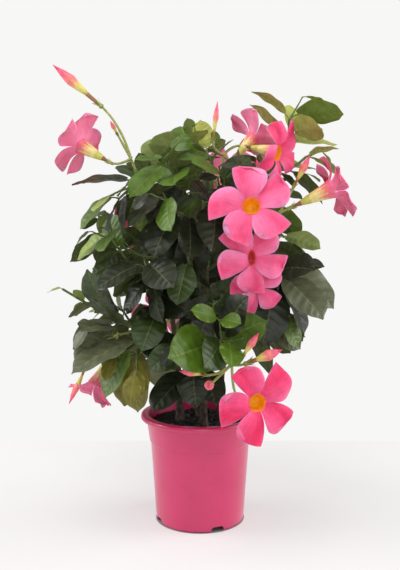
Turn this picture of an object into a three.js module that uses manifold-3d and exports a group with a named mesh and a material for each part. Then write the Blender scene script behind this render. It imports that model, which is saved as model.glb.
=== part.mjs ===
// A mandevilla in a nursery pot: four twining stems, their side boughs, masses of opposite leaves and
// sprays of five-lobed trumpet flowers. Millimetres, +Z up, origin at the middle of the pot's underside,
// and the plant's front faces -Y.
import * as THREE from "three";
import { mergeVertices } from "three/addons/utils/BufferGeometryUtils.js";
import Module from "manifold-3d";

const wasm = await Module();
wasm.setup();

// Driving dimensions of the pot and its soil
const RIM_RADIUS = 70;
const POT_HEIGHT = 128;
const BASE_RADIUS = 52;
const BODY_TOP_RADIUS = 58.3;
const COLLAR_FOOT = 95;
const COLLAR_STEP = 1.4;
const COLLAR_TOP_RADIUS = 63;
const LIP_HEIGHT = 5.5;
const BEVEL = 2;
const WALL = 2;
const FLOOR = 3;
const POT_SIDES = 32;
const NOTCH = { count: 4, turn: 23, width: 15, height: 6.5, depth: 12 };
const SOIL_TOP = 117;
const SOIL_CROWN = { drop: 2, width: 9 };
const CLEAR = 0.3;

// Stems: where each leaves the soil, going straight up, and where its tip is
const STEMS = [
  { name: "stem_left", foot: [-24, 8], tip: [-74, 2, 412] },
  { name: "stem_middle", foot: [4, -14], tip: [14, -22, 412] },
  { name: "stem_right", foot: [24, 10], tip: [96, 14, 428] },
  { name: "stem_back", foot: [0, 26], tip: [6, 40, 405] },
];
const STEM = {
  thick: 3.6,
  thin: 2.1,
  flare: 2.4,
  flareReach: 0.05,
  rise: 0.5,
  sides: 6,
  rows: 12,
  crowding: 1.4,
};

// Boughs: the limb that carries each, how far along it, and the bough's tip
const BOUGHS = [
  { name: "bough_left_high", on: "stem_left", at: 0.84, tip: [-68, -26, 390] },
  { name: "bough_left_low", on: "stem_left", at: 0.34, tip: [-82, -8, 236] },
  { name: "bough_front_left", on: "stem_left", at: 0.24, tip: [-56, -38, 214] },
  { name: "bough_front_low", on: "stem_middle", at: 0.27, tip: [17, -72, 219] },
  { name: "bough_right_middle", on: "stem_right", at: 0.44, tip: [77, -22, 292] },
  { name: "bough_right_low", on: "stem_right", at: 0.3, tip: [68, -38, 238] },
  { name: "bough_back_left", on: "stem_back", at: 0.4, tip: [-44, 66, 268] },
  { name: "bough_back_low", on: "stem_back", at: 0.2, tip: [8, 72, 206] },
  { name: "bough_back_right", on: "stem_right", at: 0.22, tip: [58, 48, 210] },
];
const BOUGH = { thick: 2.2, thin: 1.7, sides: 5, rows: 5 };
const BEND_SHARE = 0.4;

// Masses of leaves: the limb that carries each, the place along it, the shoot's tip, the pairs of leaves,
// the leaf length, the turn of the first pair about the shoot and the droop of the blades
const MASSES = [
  ["top_left", "stem_middle", 0.9, [-34, -36, 414], 4, 56, 0, 0.65],
  ["top_middle", "stem_middle", 1, [-2, -30, 440], 3, 34, 30, 0.2],
  ["top_right", "stem_right", 1, [102, 2, 470], 3, 60, 0, 0.3],
  ["right_high", "stem_right", 0.96, [124, 24, 428], 2, 56, 20, 0.2],
  ["right_middle", "bough_right_middle", 1, [84, -46, 292], 3, 74, 40, 0.8],
  ["right_low", "bough_right_low", 1, [84, -50, 252], 3, 60, 20, 0.7],
  ["front_low", "bough_front_low", 1, [23, -90, 230], 2, 72, -20, 0.2],
  ["front_foot", "stem_middle", 0.22, [-14, -60, 216], 3, 60, 40, 0.7],
  ["front_left", "bough_front_left", 1, [-70, -60, 212], 4, 74, 30, 1.2],
  ["left_low", "bough_left_low", 1, [-100, -30, 226], 4, 70, 60, 1],
  ["left_middle", "stem_left", 0.58, [-100, -14, 334], 5, 56, 20, 0.75],
  ["left_high", "bough_left_high", 1, [-90, -34, 380], 3, 62, 120, 0.7],
  ["front_high_left", "stem_middle", 0.78, [-34, -72, 378], 4, 58, 80, 0.8],
  ["front_middle_left", "stem_left", 0.42, [-58, -62, 304], 5, 60, 10, 0.8],
  ["front_middle", "stem_middle", 0.52, [-14, -76, 326], 5, 62, 45, 0.8],
  ["front_middle_right", "stem_middle", 0.4, [14, -74, 266], 4, 60, 60, 0.8],
  ["front_high", "stem_middle", 0.86, [26, -58, 400], 4, 56, 60, 0.4],
  ["back_high", "stem_back", 1, [-16, 56, 440], 4, 56, 20, 0.6],
  ["back_high_left", "stem_left", 0.9, [-66, 58, 404], 4, 58, 50, 0.5],
  ["back_high_right", "stem_right", 0.8, [80, 60, 400], 4, 58, 10, 0.5],
  ["back_upper", "stem_back", 0.74, [-10, 92, 366], 4, 60, 80, 0.7],
  ["back_middle_left", "bough_back_left", 1, [-66, 82, 310], 5, 60, 40, 0.75],
  ["back_middle", "stem_back", 0.5, [14, 100, 312], 5, 62, 0, 0.8],
  ["back_middle_right", "stem_right", 0.52, [82, 66, 322], 5, 60, 30, 0.75],
  ["back_low", "bough_back_low", 1, [6, 96, 226], 4, 62, 70, 0.85],
  ["back_low_left", "stem_left", 0.2, [-70, 56, 214], 4, 62, 20, 0.85],
  ["back_low_right", "bough_back_right", 1, [84, 56, 230], 4, 62, 50, 0.85],
  ["right_side", "stem_right", 0.6, [94, 24, 334], 4, 52, 0, 0.7],
  ["right_side_low", "stem_right", 0.34, [84, 14, 246], 3, 54, 40, 0.85],
  ["left_side", "stem_left", 0.66, [-104, 32, 330], 4, 58, 70, 0.7],
  ["left_side_low", "stem_left", 0.27, [-92, 28, 244], 4, 60, 10, 0.85],
  ["left_sprig", "bough_left_low", 0.8, [-158, -12, 276], 5, 20, 0, 0.5],
  ["core_high", "stem_middle", 0.62, [30, 6, 344], 4, 50, 20, 0.5],
  ["core_low", "stem_back", 0.5, [34, 12, 302], 4, 50, 60, 0.5],
].map(([name, on, at, tip, pairs, leaf, turn, droop]) => {
  return { name: `leaves_${name}`, on, at, tip, pairs, leaf, turn, droop };
});
const SHOOT = { thick: 2, thin: 1.4, sides: 3, rows: 4 };

// Sprays of flowers: the limb that carries each, the place along it, the hub its stalks leave from, then the
// mouth, facing, size, turn and openness of each flower, and the foot, tip and greatest radius of each bud
const SPRAYS = [
  {
    name: "flowers_left_high", on: "stem_left", at: 1, hub: [-79, -2, 425],
    blooms: [{ mouth: [-138, 18, 440], face: [-0.78, 0.46, 0.42], size: 0.92, turn: 10, open: 0.9 }],
    buds: [
      { foot: [-112, -5, 484], tip: [-165, -10, 529], radius: 6 },
      { foot: [-92, -12, 450], tip: [-100, -22, 466], radius: 2.6 },
    ],
  },
  {
    name: "flowers_upper_right", on: "stem_middle", at: 0.96, hub: [26, -32, 428],
    blooms: [
      { mouth: [60, -6, 448], face: [0.58, 0.5, 0.62], size: 0.82, turn: 20, open: 0.88 },
      { mouth: [85, -38, 430], face: [0.82, -0.5, -0.2], size: 0.88, turn: 30, open: 0.92 },
    ],
    buds: [{ foot: [14, -44, 440], tip: [19, -46, 485], radius: 3.2 }],
  },
  {
    name: "flowers_centre", on: "stem_right", at: 0.62, hub: [48, -24, 336],
    blooms: [
      { mouth: [52, -116, 373], face: [-0.06, -0.92, 0.38], size: 0.94, turn: 8, open: 1 },
      { mouth: [54, -97, 319], face: [0.06, -0.99, -0.04], size: 0.82, turn: 36, open: 1 },
      { mouth: [60, -84, 288], face: [0.12, -0.98, -0.12], size: 0.68, turn: 14, open: 0.95 },
    ],
    buds: [{ foot: [70, -50, 392], tip: [60, -58, 424], radius: 3 }],
  },
  {
    name: "flowers_right", on: "stem_right", at: 0.78, hub: [90, -22, 364],
    blooms: [{ mouth: [147, -22, 390], face: [0.9, 0.06, 0.4], size: 1, turn: 0, open: 0.82 }],
    buds: [{ foot: [104, -28, 392], tip: [122, -32, 428], radius: 4.4 }],
  },
  {
    name: "flowers_front_low", on: "bough_front_low", at: 0.86, hub: [34, -88, 204],
    blooms: [{ mouth: [59, -122, 171], face: [0.36, -0.92, 0.1], size: 0.95, turn: 20, open: 1 }],
    buds: [
      { foot: [42, -104, 212], tip: [61, -112, 243], radius: 4.2 },
      { foot: [48, -104, 208], tip: [86, -108, 224], radius: 6 },
      { foot: [8, -96, 194], tip: [-22, -108, 201], radius: 3.6 },
      { foot: [12, -100, 186], tip: [8, -130, 190], radius: 5 },
    ],
  },
  {
    name: "flowers_left_low", on: "bough_left_low", at: 0.9, hub: [-94, -26, 226],
    blooms: [{ mouth: [-120, -26, 168], face: [-0.46, -0.12, -0.88], size: 0.86, turn: 0, open: 0.6 }],
    buds: [{ foot: [-128, -30, 194], tip: [-150, -34, 146], radius: 3.6 }],
  },
  {
    name: "flowers_left_back", on: "stem_left", at: 0.72, hub: [-46, 30, 356],
    blooms: [{ mouth: [-70, 88, 352], face: [-0.42, 0.9, 0.06], size: 0.95, turn: 0, open: 0.95 }],
    buds: [],
  },
  {
    name: "flowers_back_high", on: "stem_back", at: 0.9, hub: [22, 56, 396],
    blooms: [{ mouth: [40, 118, 398], face: [0.22, 0.92, 0.2], size: 1, turn: 40, open: 1 }],
    buds: [{ foot: [4, 78, 420], tip: [-6, 92, 452], radius: 4.4 }],
  },
  {
    name: "flowers_back_right", on: "stem_right", at: 0.36, hub: [62, 40, 262],
    blooms: [{ mouth: [82, 100, 258], face: [0.42, 0.9, 0.02], size: 0.98, turn: 20, open: 0.95 }],
    buds: [{ foot: [74, 70, 276], tip: [80, 96, 296], radius: 4.2 }],
  },
  {
    name: "flowers_back_left", on: "bough_back_left", at: 0.72, hub: [-42, 76, 244],
    blooms: [{ mouth: [-48, 136, 224], face: [-0.2, 0.96, 0.04], size: 0.94, turn: 60, open: 1 }],
    buds: [],
  },
];
const STALK = {
  thick: 1.6,
  thin: 1.2,
  sides: 3,
  rows: 3,
  bend: 0.45,
  pastHub: 1.5,
  intoBloom: 3,
  intoBud: 2.5,
};

// A leaf, as shares of its length but for the petiole's greatest radius; the outline's two powers move its
// widest place towards its foot and make its ends blunter
const LEAF = {
  halfWidth: 0.34,
  outline: [0.9, 0.6],
  thickness: 0.02,
  bend: 0.16,
  fold: 0.12,
  rows: [0.26, 0.7],
  petiole: 0.22,
  petioleShare: 0.025,
  petioleRadius: 0.9,
  petioleRoot: 0.55,
};

// How leaves grow on a shoot: the place of the lowest pair, the turn from pair to pair, the spread from the
// shoot, the lean and the facing out of the crown, the light they turn to, and how much each may differ
const GROWTH = {
  firstPair: 0.3,
  pairTurn: 90,
  spread: 50,
  outwardLean: 0.35,
  frontFacing: 35,
  lightOut: 0.7,
  lightUp: 0.75,
  tipShrink: 0.2,
  turnRange: 24,
  droopRange: 0.5,
  twistRange: 30,
  lengthRange: 0.2,
  upright: 0.2,
  firstSeed: 101,
};

// How often a leaf is tried, how much wilder each try is, when it gets smaller, and what it keeps clear of:
// other blades, limbs as a share of its length, and the room over the pot where the soil shows
const TRIES = { most: 24, wilder: 0.3, smallerAfter: 8, smaller: 0.84 };
const BLADE_GAP = 4.8;
const LIMB_GAP = 0.05;
const OPEN_TOP = 152;
const RIM_GAP = 5;

// Points that stand for limbs, blades, petioles and flowers where the gaps between them are tested
const LIMB_PITCH = 4;
const BLADE_GRID = { from: 0.03, step: 0.088, rows: 12, sides: 4 };
const PETIOLE_SHARES = [0.3, 0.5, 0.7, 0.9];
const FLOWER_GRID = { pitch: 5, nearest: 10, furthest: 45, turns: 36, flat: 12, lift: 4, bud: 8 };

// A flower, measured from the mouth of its throat along its axis; one that is only part open is drawn in from
// where its petals are rooted and rises by a share of that
const FLOWER = {
  tube: [
    [-52, 1.4],
    [-40, 2.2],
    [-1.2, 10.6],
  ],
  throat: [[0.8, 9.2]],
  throatEnd: -15,
  petals: 5,
  lobe: [
    { turn: -41, out: 22, lift: 1.5 },
    { turn: -36, out: 34, lift: 3.5 },
    { turn: -16, out: 44, lift: 2.5 },
    { turn: 22, out: 48, lift: 1 },
  ],
  root: 10,
  cup: 0.9,
};
const NODDING = 0.8;
const BUD = { rows: [0.05, 0.3, 0.62, 0.8], shape: [0.34, 0.42, 1, 0.66], sides: 5 };

const COLOURS = {
  pot: { color: 0xd6507c, roughness: 0.45, metalness: 0 },
  soil: { color: 0x2b1d16, roughness: 1, metalness: 0 },
  stem: { color: 0x5a4a30, roughness: 0.85, metalness: 0 },
  bough: { color: 0x64702f, roughness: 0.75, metalness: 0 },
  leaf: { color: 0x2f4a26, roughness: 0.5, metalness: 0 },
  flower: { color: 0xf0527f, roughness: 0.6, metalness: 0 },
};

const UP = new THREE.Vector3(0, 0, 1);
const AXES = [new THREE.Vector3(1, 0, 0), new THREE.Vector3(0, 1, 0), UP];
const MERGE_REACH = 1e-3;
const vector = (xyz) => new THREE.Vector3(...xyz);
const radians = THREE.MathUtils.degToRad;
const lerp = THREE.MathUtils.lerp;
const rangeOf = (count, make) => Array.from({ length: count }, (_, i) => make(i));

// Random numbers from 0 to 1, the same ones for the same seed
function seeded(seed) {
  let state = seed | 0;
  return () => {
    state = (state + 0x6d2b79f5) | 0;
    let t = Math.imul(state ^ (state >>> 15), 1 | state);
    t = (t + Math.imul(t ^ (t >>> 7), 61 | t)) ^ t;
    return ((t ^ (t >>> 14)) >>> 0) / 2 ** 32;
  };
}

// Solids

// A three.js geometry as a closed solid
function solidOf(geometry) {
  const bare = geometry.clone();
  bare.deleteAttribute("normal");
  bare.deleteAttribute("uv");
  const merged = mergeVertices(bare, MERGE_REACH);
  return new wasm.Manifold(
    new wasm.Mesh({
      numProp: 3,
      vertProperties: new Float32Array(merged.attributes.position.array),
      triVerts: new Uint32Array(merged.index.array),
    }),
  );
}

// A closed skin over rings of equally many points, which turn right-handed about the way from head to tail
function skin(head, rings, tail) {
  const count = rings[0].length;
  const points = [head, ...rings.flat(), tail];
  const last = points.length - 1;
  const triangles = [];
  for (let j = 0; j < count; j++) {
    const next = (j + 1) % count;
    triangles.push(0, 1 + next, 1 + j);
    for (let i = 0; i + 1 < rings.length; i++) {
      const a = 1 + i * count;
      const b = a + count;
      triangles.push(a + j, a + next, b + next, a + j, b + next, b + j);
    }
    triangles.push(last, last - count + j, last - count + next);
  }
  const geometry = new THREE.BufferGeometry().setFromPoints(points);
  geometry.setIndex(triangles);
  return solidOf(geometry);
}

// Two directions square to a tangent, the second turned a quarter right-handed about it from the first
function acrossOf(tangent, reference) {
  const side = reference.clone().addScaledVector(tangent, -reference.dot(tangent)).normalize();
  return [side, tangent.clone().cross(side)];
}

// The row axis that lies furthest from a line
function referenceFor(from, to) {
  const along = to.clone().sub(from).normalize();
  return AXES.reduce((best, axis) => (Math.abs(axis.dot(along)) < Math.abs(best.dot(along)) ? axis : best));
}

function ringAt(centre, side, other, radius, sides) {
  return rangeOf(sides, (j) => {
    const angle = (2 * Math.PI * j) / sides;
    return centre
      .clone()
      .addScaledVector(side, radius * Math.cos(angle))
      .addScaledVector(other, radius * Math.sin(angle));
  });
}

// A round limb along a curve, with flat ends, its rows crowded to its start where that flares
function limbSolid(limb) {
  const reference = referenceFor(limb.curve.v0, limb.curve.v2);
  const rings = rangeOf(limb.rows + 1, (i) => {
    const t = (i / limb.rows) ** (limb.crowding ?? 1);
    const [side, other] = acrossOf(limb.curve.getTangent(t), reference);
    return ringAt(limb.curve.getPoint(t), side, other, limbRadius(limb, t), limb.sides);
  });
  return skin(limb.curve.v0, rings, limb.curve.v2);
}

// The union of pieces as one body: fused leaves can leave a sealed hollow or a loose scrap, which go
function fused(pieces) {
  const bodies = pieces.reduce((all, piece) => all.add(piece)).decompose();
  return bodies.reduce((best, body) => (body.volume() > best.volume() ? body : best));
}

function meshOf(name, solid, look) {
  const { numProp, vertProperties, triVerts } = solid.getMesh();
  const positions = [];
  for (let i = 0; i < vertProperties.length; i += numProp) {
    positions.push(...vertProperties.subarray(i, i + 3));
  }
  const geometry = new THREE.BufferGeometry();
  geometry.setAttribute("position", new THREE.Float32BufferAttribute(positions, 3));
  geometry.setIndex(Array.from(triVerts));
  geometry.computeVertexNormals();
  const mesh = new THREE.Mesh(geometry, new THREE.MeshStandardMaterial(look));
  mesh.name = name;
  return mesh;
}

// Pot and soil

function lathed(profile) {
  const points = profile.map(([radius, height]) => new THREE.Vector2(radius, height));
  return solidOf(new THREE.LatheGeometry(points, POT_SIDES).rotateX(Math.PI / 2));
}

// The radius of the pot's inner wall at a height
function innerRadius(height) {
  const body = lerp(BASE_RADIUS, BODY_TOP_RADIUS, height / COLLAR_FOOT) - WALL;
  const share = (height - COLLAR_FOOT) / (POT_HEIGHT - COLLAR_FOOT);
  const collar = lerp(BODY_TOP_RADIUS, COLLAR_TOP_RADIUS, share) - WALL;
  return height < COLLAR_FOOT ? body : collar;
}

function potSolid() {
  const lipFoot = POT_HEIGHT - LIP_HEIGHT;
  const turned = lathed([
    [0, 0],
    [BASE_RADIUS - BEVEL, 0],
    [BASE_RADIUS, BEVEL],
    [BODY_TOP_RADIUS, COLLAR_FOOT],
    [BODY_TOP_RADIUS + COLLAR_STEP, COLLAR_FOOT + COLLAR_STEP],
    [COLLAR_TOP_RADIUS, lipFoot],
    [RIM_RADIUS - BEVEL, lipFoot],
    [RIM_RADIUS, lipFoot + BEVEL],
    [RIM_RADIUS, POT_HEIGHT - BEVEL],
    [RIM_RADIUS - BEVEL, POT_HEIGHT],
    [innerRadius(POT_HEIGHT), POT_HEIGHT],
    [innerRadius(COLLAR_FOOT), COLLAR_FOOT],
    [innerRadius(FLOOR), FLOOR],
    [0, FLOOR],
  ]);
  return notches().reduce((pot, notch) => pot.subtract(notch), turned);
}

// Blocks that cut the drainage notches out of the pot's bottom edge
function notches() {
  return rangeOf(NOTCH.count, (i) => {
    const angle = radians(-90 + NOTCH.turn + (360 * i) / NOTCH.count);
    const block = new THREE.BoxGeometry(2 * NOTCH.depth, NOTCH.width, 2 * NOTCH.height);
    block.translate(BASE_RADIUS + BEVEL, 0, 0).rotateZ(angle);
    return solidOf(block);
  });
}

// The soil fills the pot clear of its wall and is crowned a little in the middle
function soilSolid() {
  const edge = SOIL_TOP - SOIL_CROWN.drop;
  return lathed([
    [0, FLOOR + CLEAR],
    [innerRadius(FLOOR) - CLEAR, FLOOR + CLEAR],
    [innerRadius(COLLAR_FOOT) - CLEAR, COLLAR_FOOT],
    [innerRadius(edge) - CLEAR, edge],
    [innerRadius(edge) - SOIL_CROWN.width, SOIL_TOP],
    [0, SOIL_TOP],
  ]);
}

// Skeleton

function limbRadius(limb, t) {
  const flare = limb.flare ? limb.flare * Math.exp(-t / limb.flareReach) : 0;
  return lerp(limb.thick, limb.thin, t) + flare;
}

function limbOf(name, start, middle, tip, shape) {
  return { name, ...shape, curve: new THREE.QuadraticBezierCurve3(start, middle, tip) };
}

function stemLimb({ name, foot, tip }) {
  const start = vector([...foot, SOIL_TOP + CLEAR]);
  const middle = vector([...foot, lerp(SOIL_TOP, tip[2], STEM.rise)]);
  return limbOf(name, start, middle, vector(tip), STEM);
}

// Where a child limb starts and which way: on from its carrier's tip, or square off its carrier's side
function seatOn(carrier, at, toward) {
  const way = carrier.curve.getTangent(at);
  const point = carrier.curve.getPoint(at);
  if (at === 1) return { start: point.addScaledVector(way, CLEAR), way };
  const [side] = acrossOf(way, toward.clone().sub(point));
  return { start: point.addScaledVector(side, limbRadius(carrier, at) + CLEAR), way: side };
}

// A side limb that leaves its carrier and bends over to its tip
function sideLimb({ name, on, at, tip }, shape, limbs) {
  const end = vector(tip);
  const { start, way } = seatOn(limbs.get(on), at, end);
  const middle = start.clone().addScaledVector(way, BEND_SHARE * start.distanceTo(end));
  return limbOf(name, start, middle, end, shape);
}

// Points along a limb, with its radius at each
function limbSamples(limb) {
  const steps = Math.max(LIMB_PITCH, Math.ceil(limb.curve.getLength() / LIMB_PITCH));
  return rangeOf(steps + 1, (i) => ({
    point: limb.curve.getPoint(i / steps),
    radius: limbRadius(limb, i / steps),
  }));
}

// Leaves

// Half the width of a leaf as a share of its greatest, from its foot at 0 to its tip at 1
function leafOutline(t) {
  const [widest, blunt] = LEAF.outline;
  return Math.sin(Math.PI * t ** widest) ** blunt;
}

// The middle, the normal and the half width of a leaf's blade at a share of its length
function bladeAt(leaf, t) {
  const centre = leaf.foot
    .clone()
    .addScaledVector(leaf.axis, leaf.length * t)
    .addScaledVector(leaf.normal, -LEAF.bend * leaf.length * t * t);
  const normal = leaf.normal.clone().addScaledVector(leaf.axis, 2 * LEAF.bend * t).normalize();
  return { centre, normal, half: LEAF.halfWidth * leaf.length * leafOutline(t) };
}

function leafPoint(leaf, t, across) {
  const { centre, normal, half } = bladeAt(leaf, t);
  return centre
    .addScaledVector(leaf.right, across * half)
    .addScaledVector(normal, LEAF.fold * half * Math.abs(across));
}

// Points all over a leaf's blade
function bladeSamples(leaf) {
  const { from, step, rows, sides } = BLADE_GRID;
  return rangeOf(rows, (i) =>
    rangeOf(2 * sides + 1, (j) => leafPoint(leaf, from + step * i, (j - sides) / sides)),
  ).flat();
}

function petioleSamples(leaf) {
  return PETIOLE_SHARES.map((t) => leaf.start.clone().lerp(leaf.foot, t));
}

// A leaf on its petiole: three-cornered rows, keeled along the midrib, from inside the shoot to the tip
function leafSolid(leaf) {
  const way = leaf.foot.clone().sub(leaf.start).normalize();
  const [up, right] = acrossOf(way, leaf.normal);
  const stalk = [
    [leaf.start, LEAF.petioleRoot * leaf.stalkRadius],
    [leaf.foot, leaf.stalkRadius],
  ].map(([centre, radius]) => {
    const top = centre.clone().addScaledVector(up, radius / 2);
    return [
      top.clone().addScaledVector(right, radius),
      top.clone().addScaledVector(up, -2 * radius),
      top.clone().addScaledVector(right, -radius),
    ];
  });
  const keel = (LEAF.thickness * leaf.length) / 2;
  const blade = LEAF.rows.map((t) => {
    const { centre, normal } = bladeAt(leaf, t);
    return [leafPoint(leaf, t, 1), centre.addScaledVector(normal, -keel), leafPoint(leaf, t, -1)];
  });
  return skin(leaf.start, [...stalk, ...blade], bladeAt(leaf, 1).centre);
}

// The level way that leaves at a point turn to: out of the crown, and more to its front or its back
function outward(point) {
  return new THREE.Vector3(point.x, point.y + Math.sign(point.y) * GROWTH.frontFacing, 0).normalize();
}

// One try at a leaf: its petiole leaves the shoot to one side, and its blade droops and turns to the light
function leafTry(shoot, pair, side, attempt, draw) {
  const share = pair / (shoot.pairs - 1);
  const t = lerp(GROWTH.firstPair, 1, share);
  const start = shoot.curve.getPoint(t);
  const tangent = shoot.curve.getTangent(t);
  const out = outward(start);
  const wild = 1 + TRIES.wilder * attempt;
  const vary = (range) => (draw() - 0.5) * range * wild;
  const roll = radians(shoot.turn + GROWTH.pairTurn * pair + 180 * side + vary(GROWTH.turnRange));
  const droop = shoot.droop * (1 + vary(GROWTH.droopRange));
  const twist = radians(vary(GROWTH.twistRange));
  const size = 1 + (draw() - 0.5) * GROWTH.lengthRange;
  const smaller = attempt > TRIES.smallerAfter ? TRIES.smaller : 1;
  const length = shoot.leaf * (1 - GROWTH.tipShrink * share) * size * smaller;
  const level = tangent.clone().cross(UP);
  const reference = level.length() > GROWTH.upright ? level : out.clone().cross(UP);
  const [first, second] = acrossOf(tangent, reference);
  const spread = radians(GROWTH.spread);
  const petiole = tangent
    .clone()
    .multiplyScalar(Math.cos(spread))
    .addScaledVector(first, Math.sin(spread) * Math.cos(roll))
    .addScaledVector(second, Math.sin(spread) * Math.sin(roll))
    .addScaledVector(out, GROWTH.outwardLean)
    .normalize();
  const axis = petiole.clone().addScaledVector(UP, -droop).normalize();
  const light = out.clone().multiplyScalar(GROWTH.lightOut).addScaledVector(UP, GROWTH.lightUp);
  const normal = acrossOf(axis, light)[0].applyAxisAngle(axis, twist);
  return {
    start,
    foot: start.clone().addScaledVector(petiole, LEAF.petiole * length),
    axis,
    normal,
    right: axis.clone().cross(normal),
    length,
    stalkRadius: Math.min(LEAF.petioleRadius, LEAF.petioleShare * length),
  };
}

// Whether a point lies in the pot or in the open room over it, where the soil shows
function overPot(point) {
  return point.z < OPEN_TOP && Math.hypot(point.x, point.y) < RIM_RADIUS + RIM_GAP;
}

// Whether points keep clear of the pot and of the limbs, blades and flowers before them, but for one owner's
function clear(points, gap, blades, limbPoints, exempt) {
  const box = new THREE.Box3().setFromPoints(points).expandByScalar(BLADE_GAP);
  const nearBlades = blades.filter((blade) => blade.owner !== exempt && blade.box.intersectsBox(box));
  const nearLimbs = limbPoints.filter(({ name, point }) => name !== exempt && box.containsPoint(point));
  return points.every(
    (p) =>
      !overPot(p) &&
      nearBlades.every((blade) => blade.points.every((q) => p.distanceTo(q) > BLADE_GAP)) &&
      nearLimbs.every(({ point, radius }) => p.distanceTo(point) > radius + gap),
  );
}

function bladeOf(owner, points) {
  return { owner, points, box: new THREE.Box3().setFromPoints(points) };
}

// The first of a leaf's tries that is clear, which then takes its room
function grownLeaf(shoot, pair, side, draw, blades, limbPoints) {
  for (let attempt = 0; attempt < TRIES.most; attempt++) {
    const leaf = leafTry(shoot, pair, side, attempt, draw);
    const points = bladeSamples(leaf);
    const stalk = petioleSamples(leaf);
    const gap = LIMB_GAP * leaf.length;
    if (clear(points, gap, blades, limbPoints) && clear(stalk, gap, blades, limbPoints, shoot.name)) {
      blades.push(bladeOf(shoot.name, points));
      for (const point of stalk) limbPoints.push({ name: shoot.name, point, radius: leaf.stalkRadius });
      return [leaf];
    }
  }
  return [];
}

// The leaves of a shoot from its tip down, but for those that find no room
function growLeaves(shoot, seed, blades, limbPoints) {
  const draw = seeded(seed);
  const leaves = [];
  for (let pair = shoot.pairs - 1; pair >= 0; pair--) {
    for (const side of [0, 1]) leaves.push(...grownLeaf(shoot, pair, side, draw, blades, limbPoints));
  }
  return leaves;
}

// Flowers

// The frame of an open flower: its size, its axis, and the two directions its petals spread in
function flowerFrame({ mouth, face, size, turn, open }) {
  const axis = vector(face).normalize();
  const [first, second] = acrossOf(axis, Math.abs(axis.z) > NODDING ? AXES[1] : UP);
  return { mouth: vector(mouth), size, turn, open, axis, first, second };
}

// The lift and the distance out of a point on a lobe, in a flower that is only part open
function folded({ open }, lift, out) {
  const shut = (1 - open) * Math.max(out - FLOWER.root, 0);
  return [lift + FLOWER.cup * shut, out - shut];
}

function alongAxis(frame, distance) {
  return frame.mouth.clone().addScaledVector(frame.axis, distance * frame.size);
}

// A ring of points round a flower's axis, one for each corner of each lobe, at the place that each asks for
function flowerRing(frame, place) {
  return rangeOf(FLOWER.petals, (petal) =>
    FLOWER.lobe.map((corner) => {
      const angle = radians(frame.turn + corner.turn + (360 * petal) / FLOWER.petals);
      const [lift, out] = place(corner);
      return alongAxis(frame, lift)
        .addScaledVector(frame.first, out * frame.size * Math.cos(angle))
        .addScaledVector(frame.second, out * frame.size * Math.sin(angle));
    }),
  ).flat();
}

// A trumpet: tube, flare, lobes turned like a propeller's blades, and the hollow throat
function bloomSolid(bloom) {
  const frame = flowerFrame(bloom);
  const rings = [
    ...FLOWER.tube.map((row) => flowerRing(frame, () => row)),
    flowerRing(frame, ({ lift, out }) => folded(frame, lift, out)),
    ...FLOWER.throat.map((row) => flowerRing(frame, () => row)),
  ];
  return skin(alongAxis(frame, FLOWER.tube[0][0]), rings, alongAxis(frame, FLOWER.throatEnd));
}

function budSolid({ foot, tip, radius }) {
  const [start, end] = [vector(foot), vector(tip)];
  const way = end.clone().sub(start).normalize();
  const [side, other] = acrossOf(way, referenceFor(start, end));
  const rings = BUD.rows.map((t, i) =>
    ringAt(start.clone().lerp(end, t), side, other, radius * BUD.shape[i], BUD.sides),
  );
  return skin(start, rings, end);
}

// A stalk from the spray's hub that comes into a flower or bud along its own axis
function stalkLimb(hub, foot, way) {
  const reach = STALK.bend * hub.distanceTo(foot);
  return limbOf("stalk", hub, foot.clone().addScaledVector(way, -reach), foot, STALK);
}

function stalksOf(spray) {
  const hub = vector(spray.hub);
  const toBlooms = spray.blooms.map((bloom) => {
    const frame = flowerFrame(bloom);
    return stalkLimb(hub, alongAxis(frame, FLOWER.tube[0][0] + STALK.intoBloom), frame.axis);
  });
  const toBuds = spray.buds.map(({ foot, tip }) => {
    const way = vector(tip).sub(vector(foot)).normalize();
    return stalkLimb(hub, vector(foot).addScaledVector(way, STALK.intoBud), way);
  });
  return [...toBlooms, ...toBuds];
}

// The stem of a spray, which runs on a little past the hub, and its stalks
function sprayLimbs(spray, limbs) {
  const hub = vector(spray.hub);
  const { start, way } = seatOn(limbs.get(spray.on), spray.at, hub);
  const middle = start.clone().addScaledVector(way, BEND_SHARE * start.distanceTo(hub));
  const end = hub.clone().addScaledVector(hub.clone().sub(middle).normalize(), STALK.pastHub);
  return [limbOf(spray.name, start, middle, end, STALK), ...stalksOf(spray)];
}

function spraySolid(spray, limbs) {
  return fused([
    ...sprayLimbs(spray, limbs).map(limbSolid),
    ...spray.blooms.map(bloomSolid),
    ...spray.buds.map(budSolid),
  ]);
}

// Points along a flower's tube and over its lobes
function bloomSamples(bloom) {
  const frame = flowerFrame(bloom);
  const { pitch, nearest, furthest, turns, flat, lift } = FLOWER_GRID;
  const points = [];
  for (let along = FLOWER.tube[0][0]; along < 0; along += pitch) points.push(alongAxis(frame, along));
  for (let out = nearest; out <= furthest; out += pitch) {
    const [rise, reach] = folded(frame, out > flat ? lift : 0, out);
    points.push(...ringAt(alongAxis(frame, rise), frame.first, frame.second, reach * frame.size, turns));
  }
  return points;
}

function budSamples({ foot, tip }) {
  return rangeOf(FLOWER_GRID.bud + 1, (i) => vector(foot).lerp(vector(tip), i / FLOWER_GRID.bud));
}

// Assembly

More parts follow.
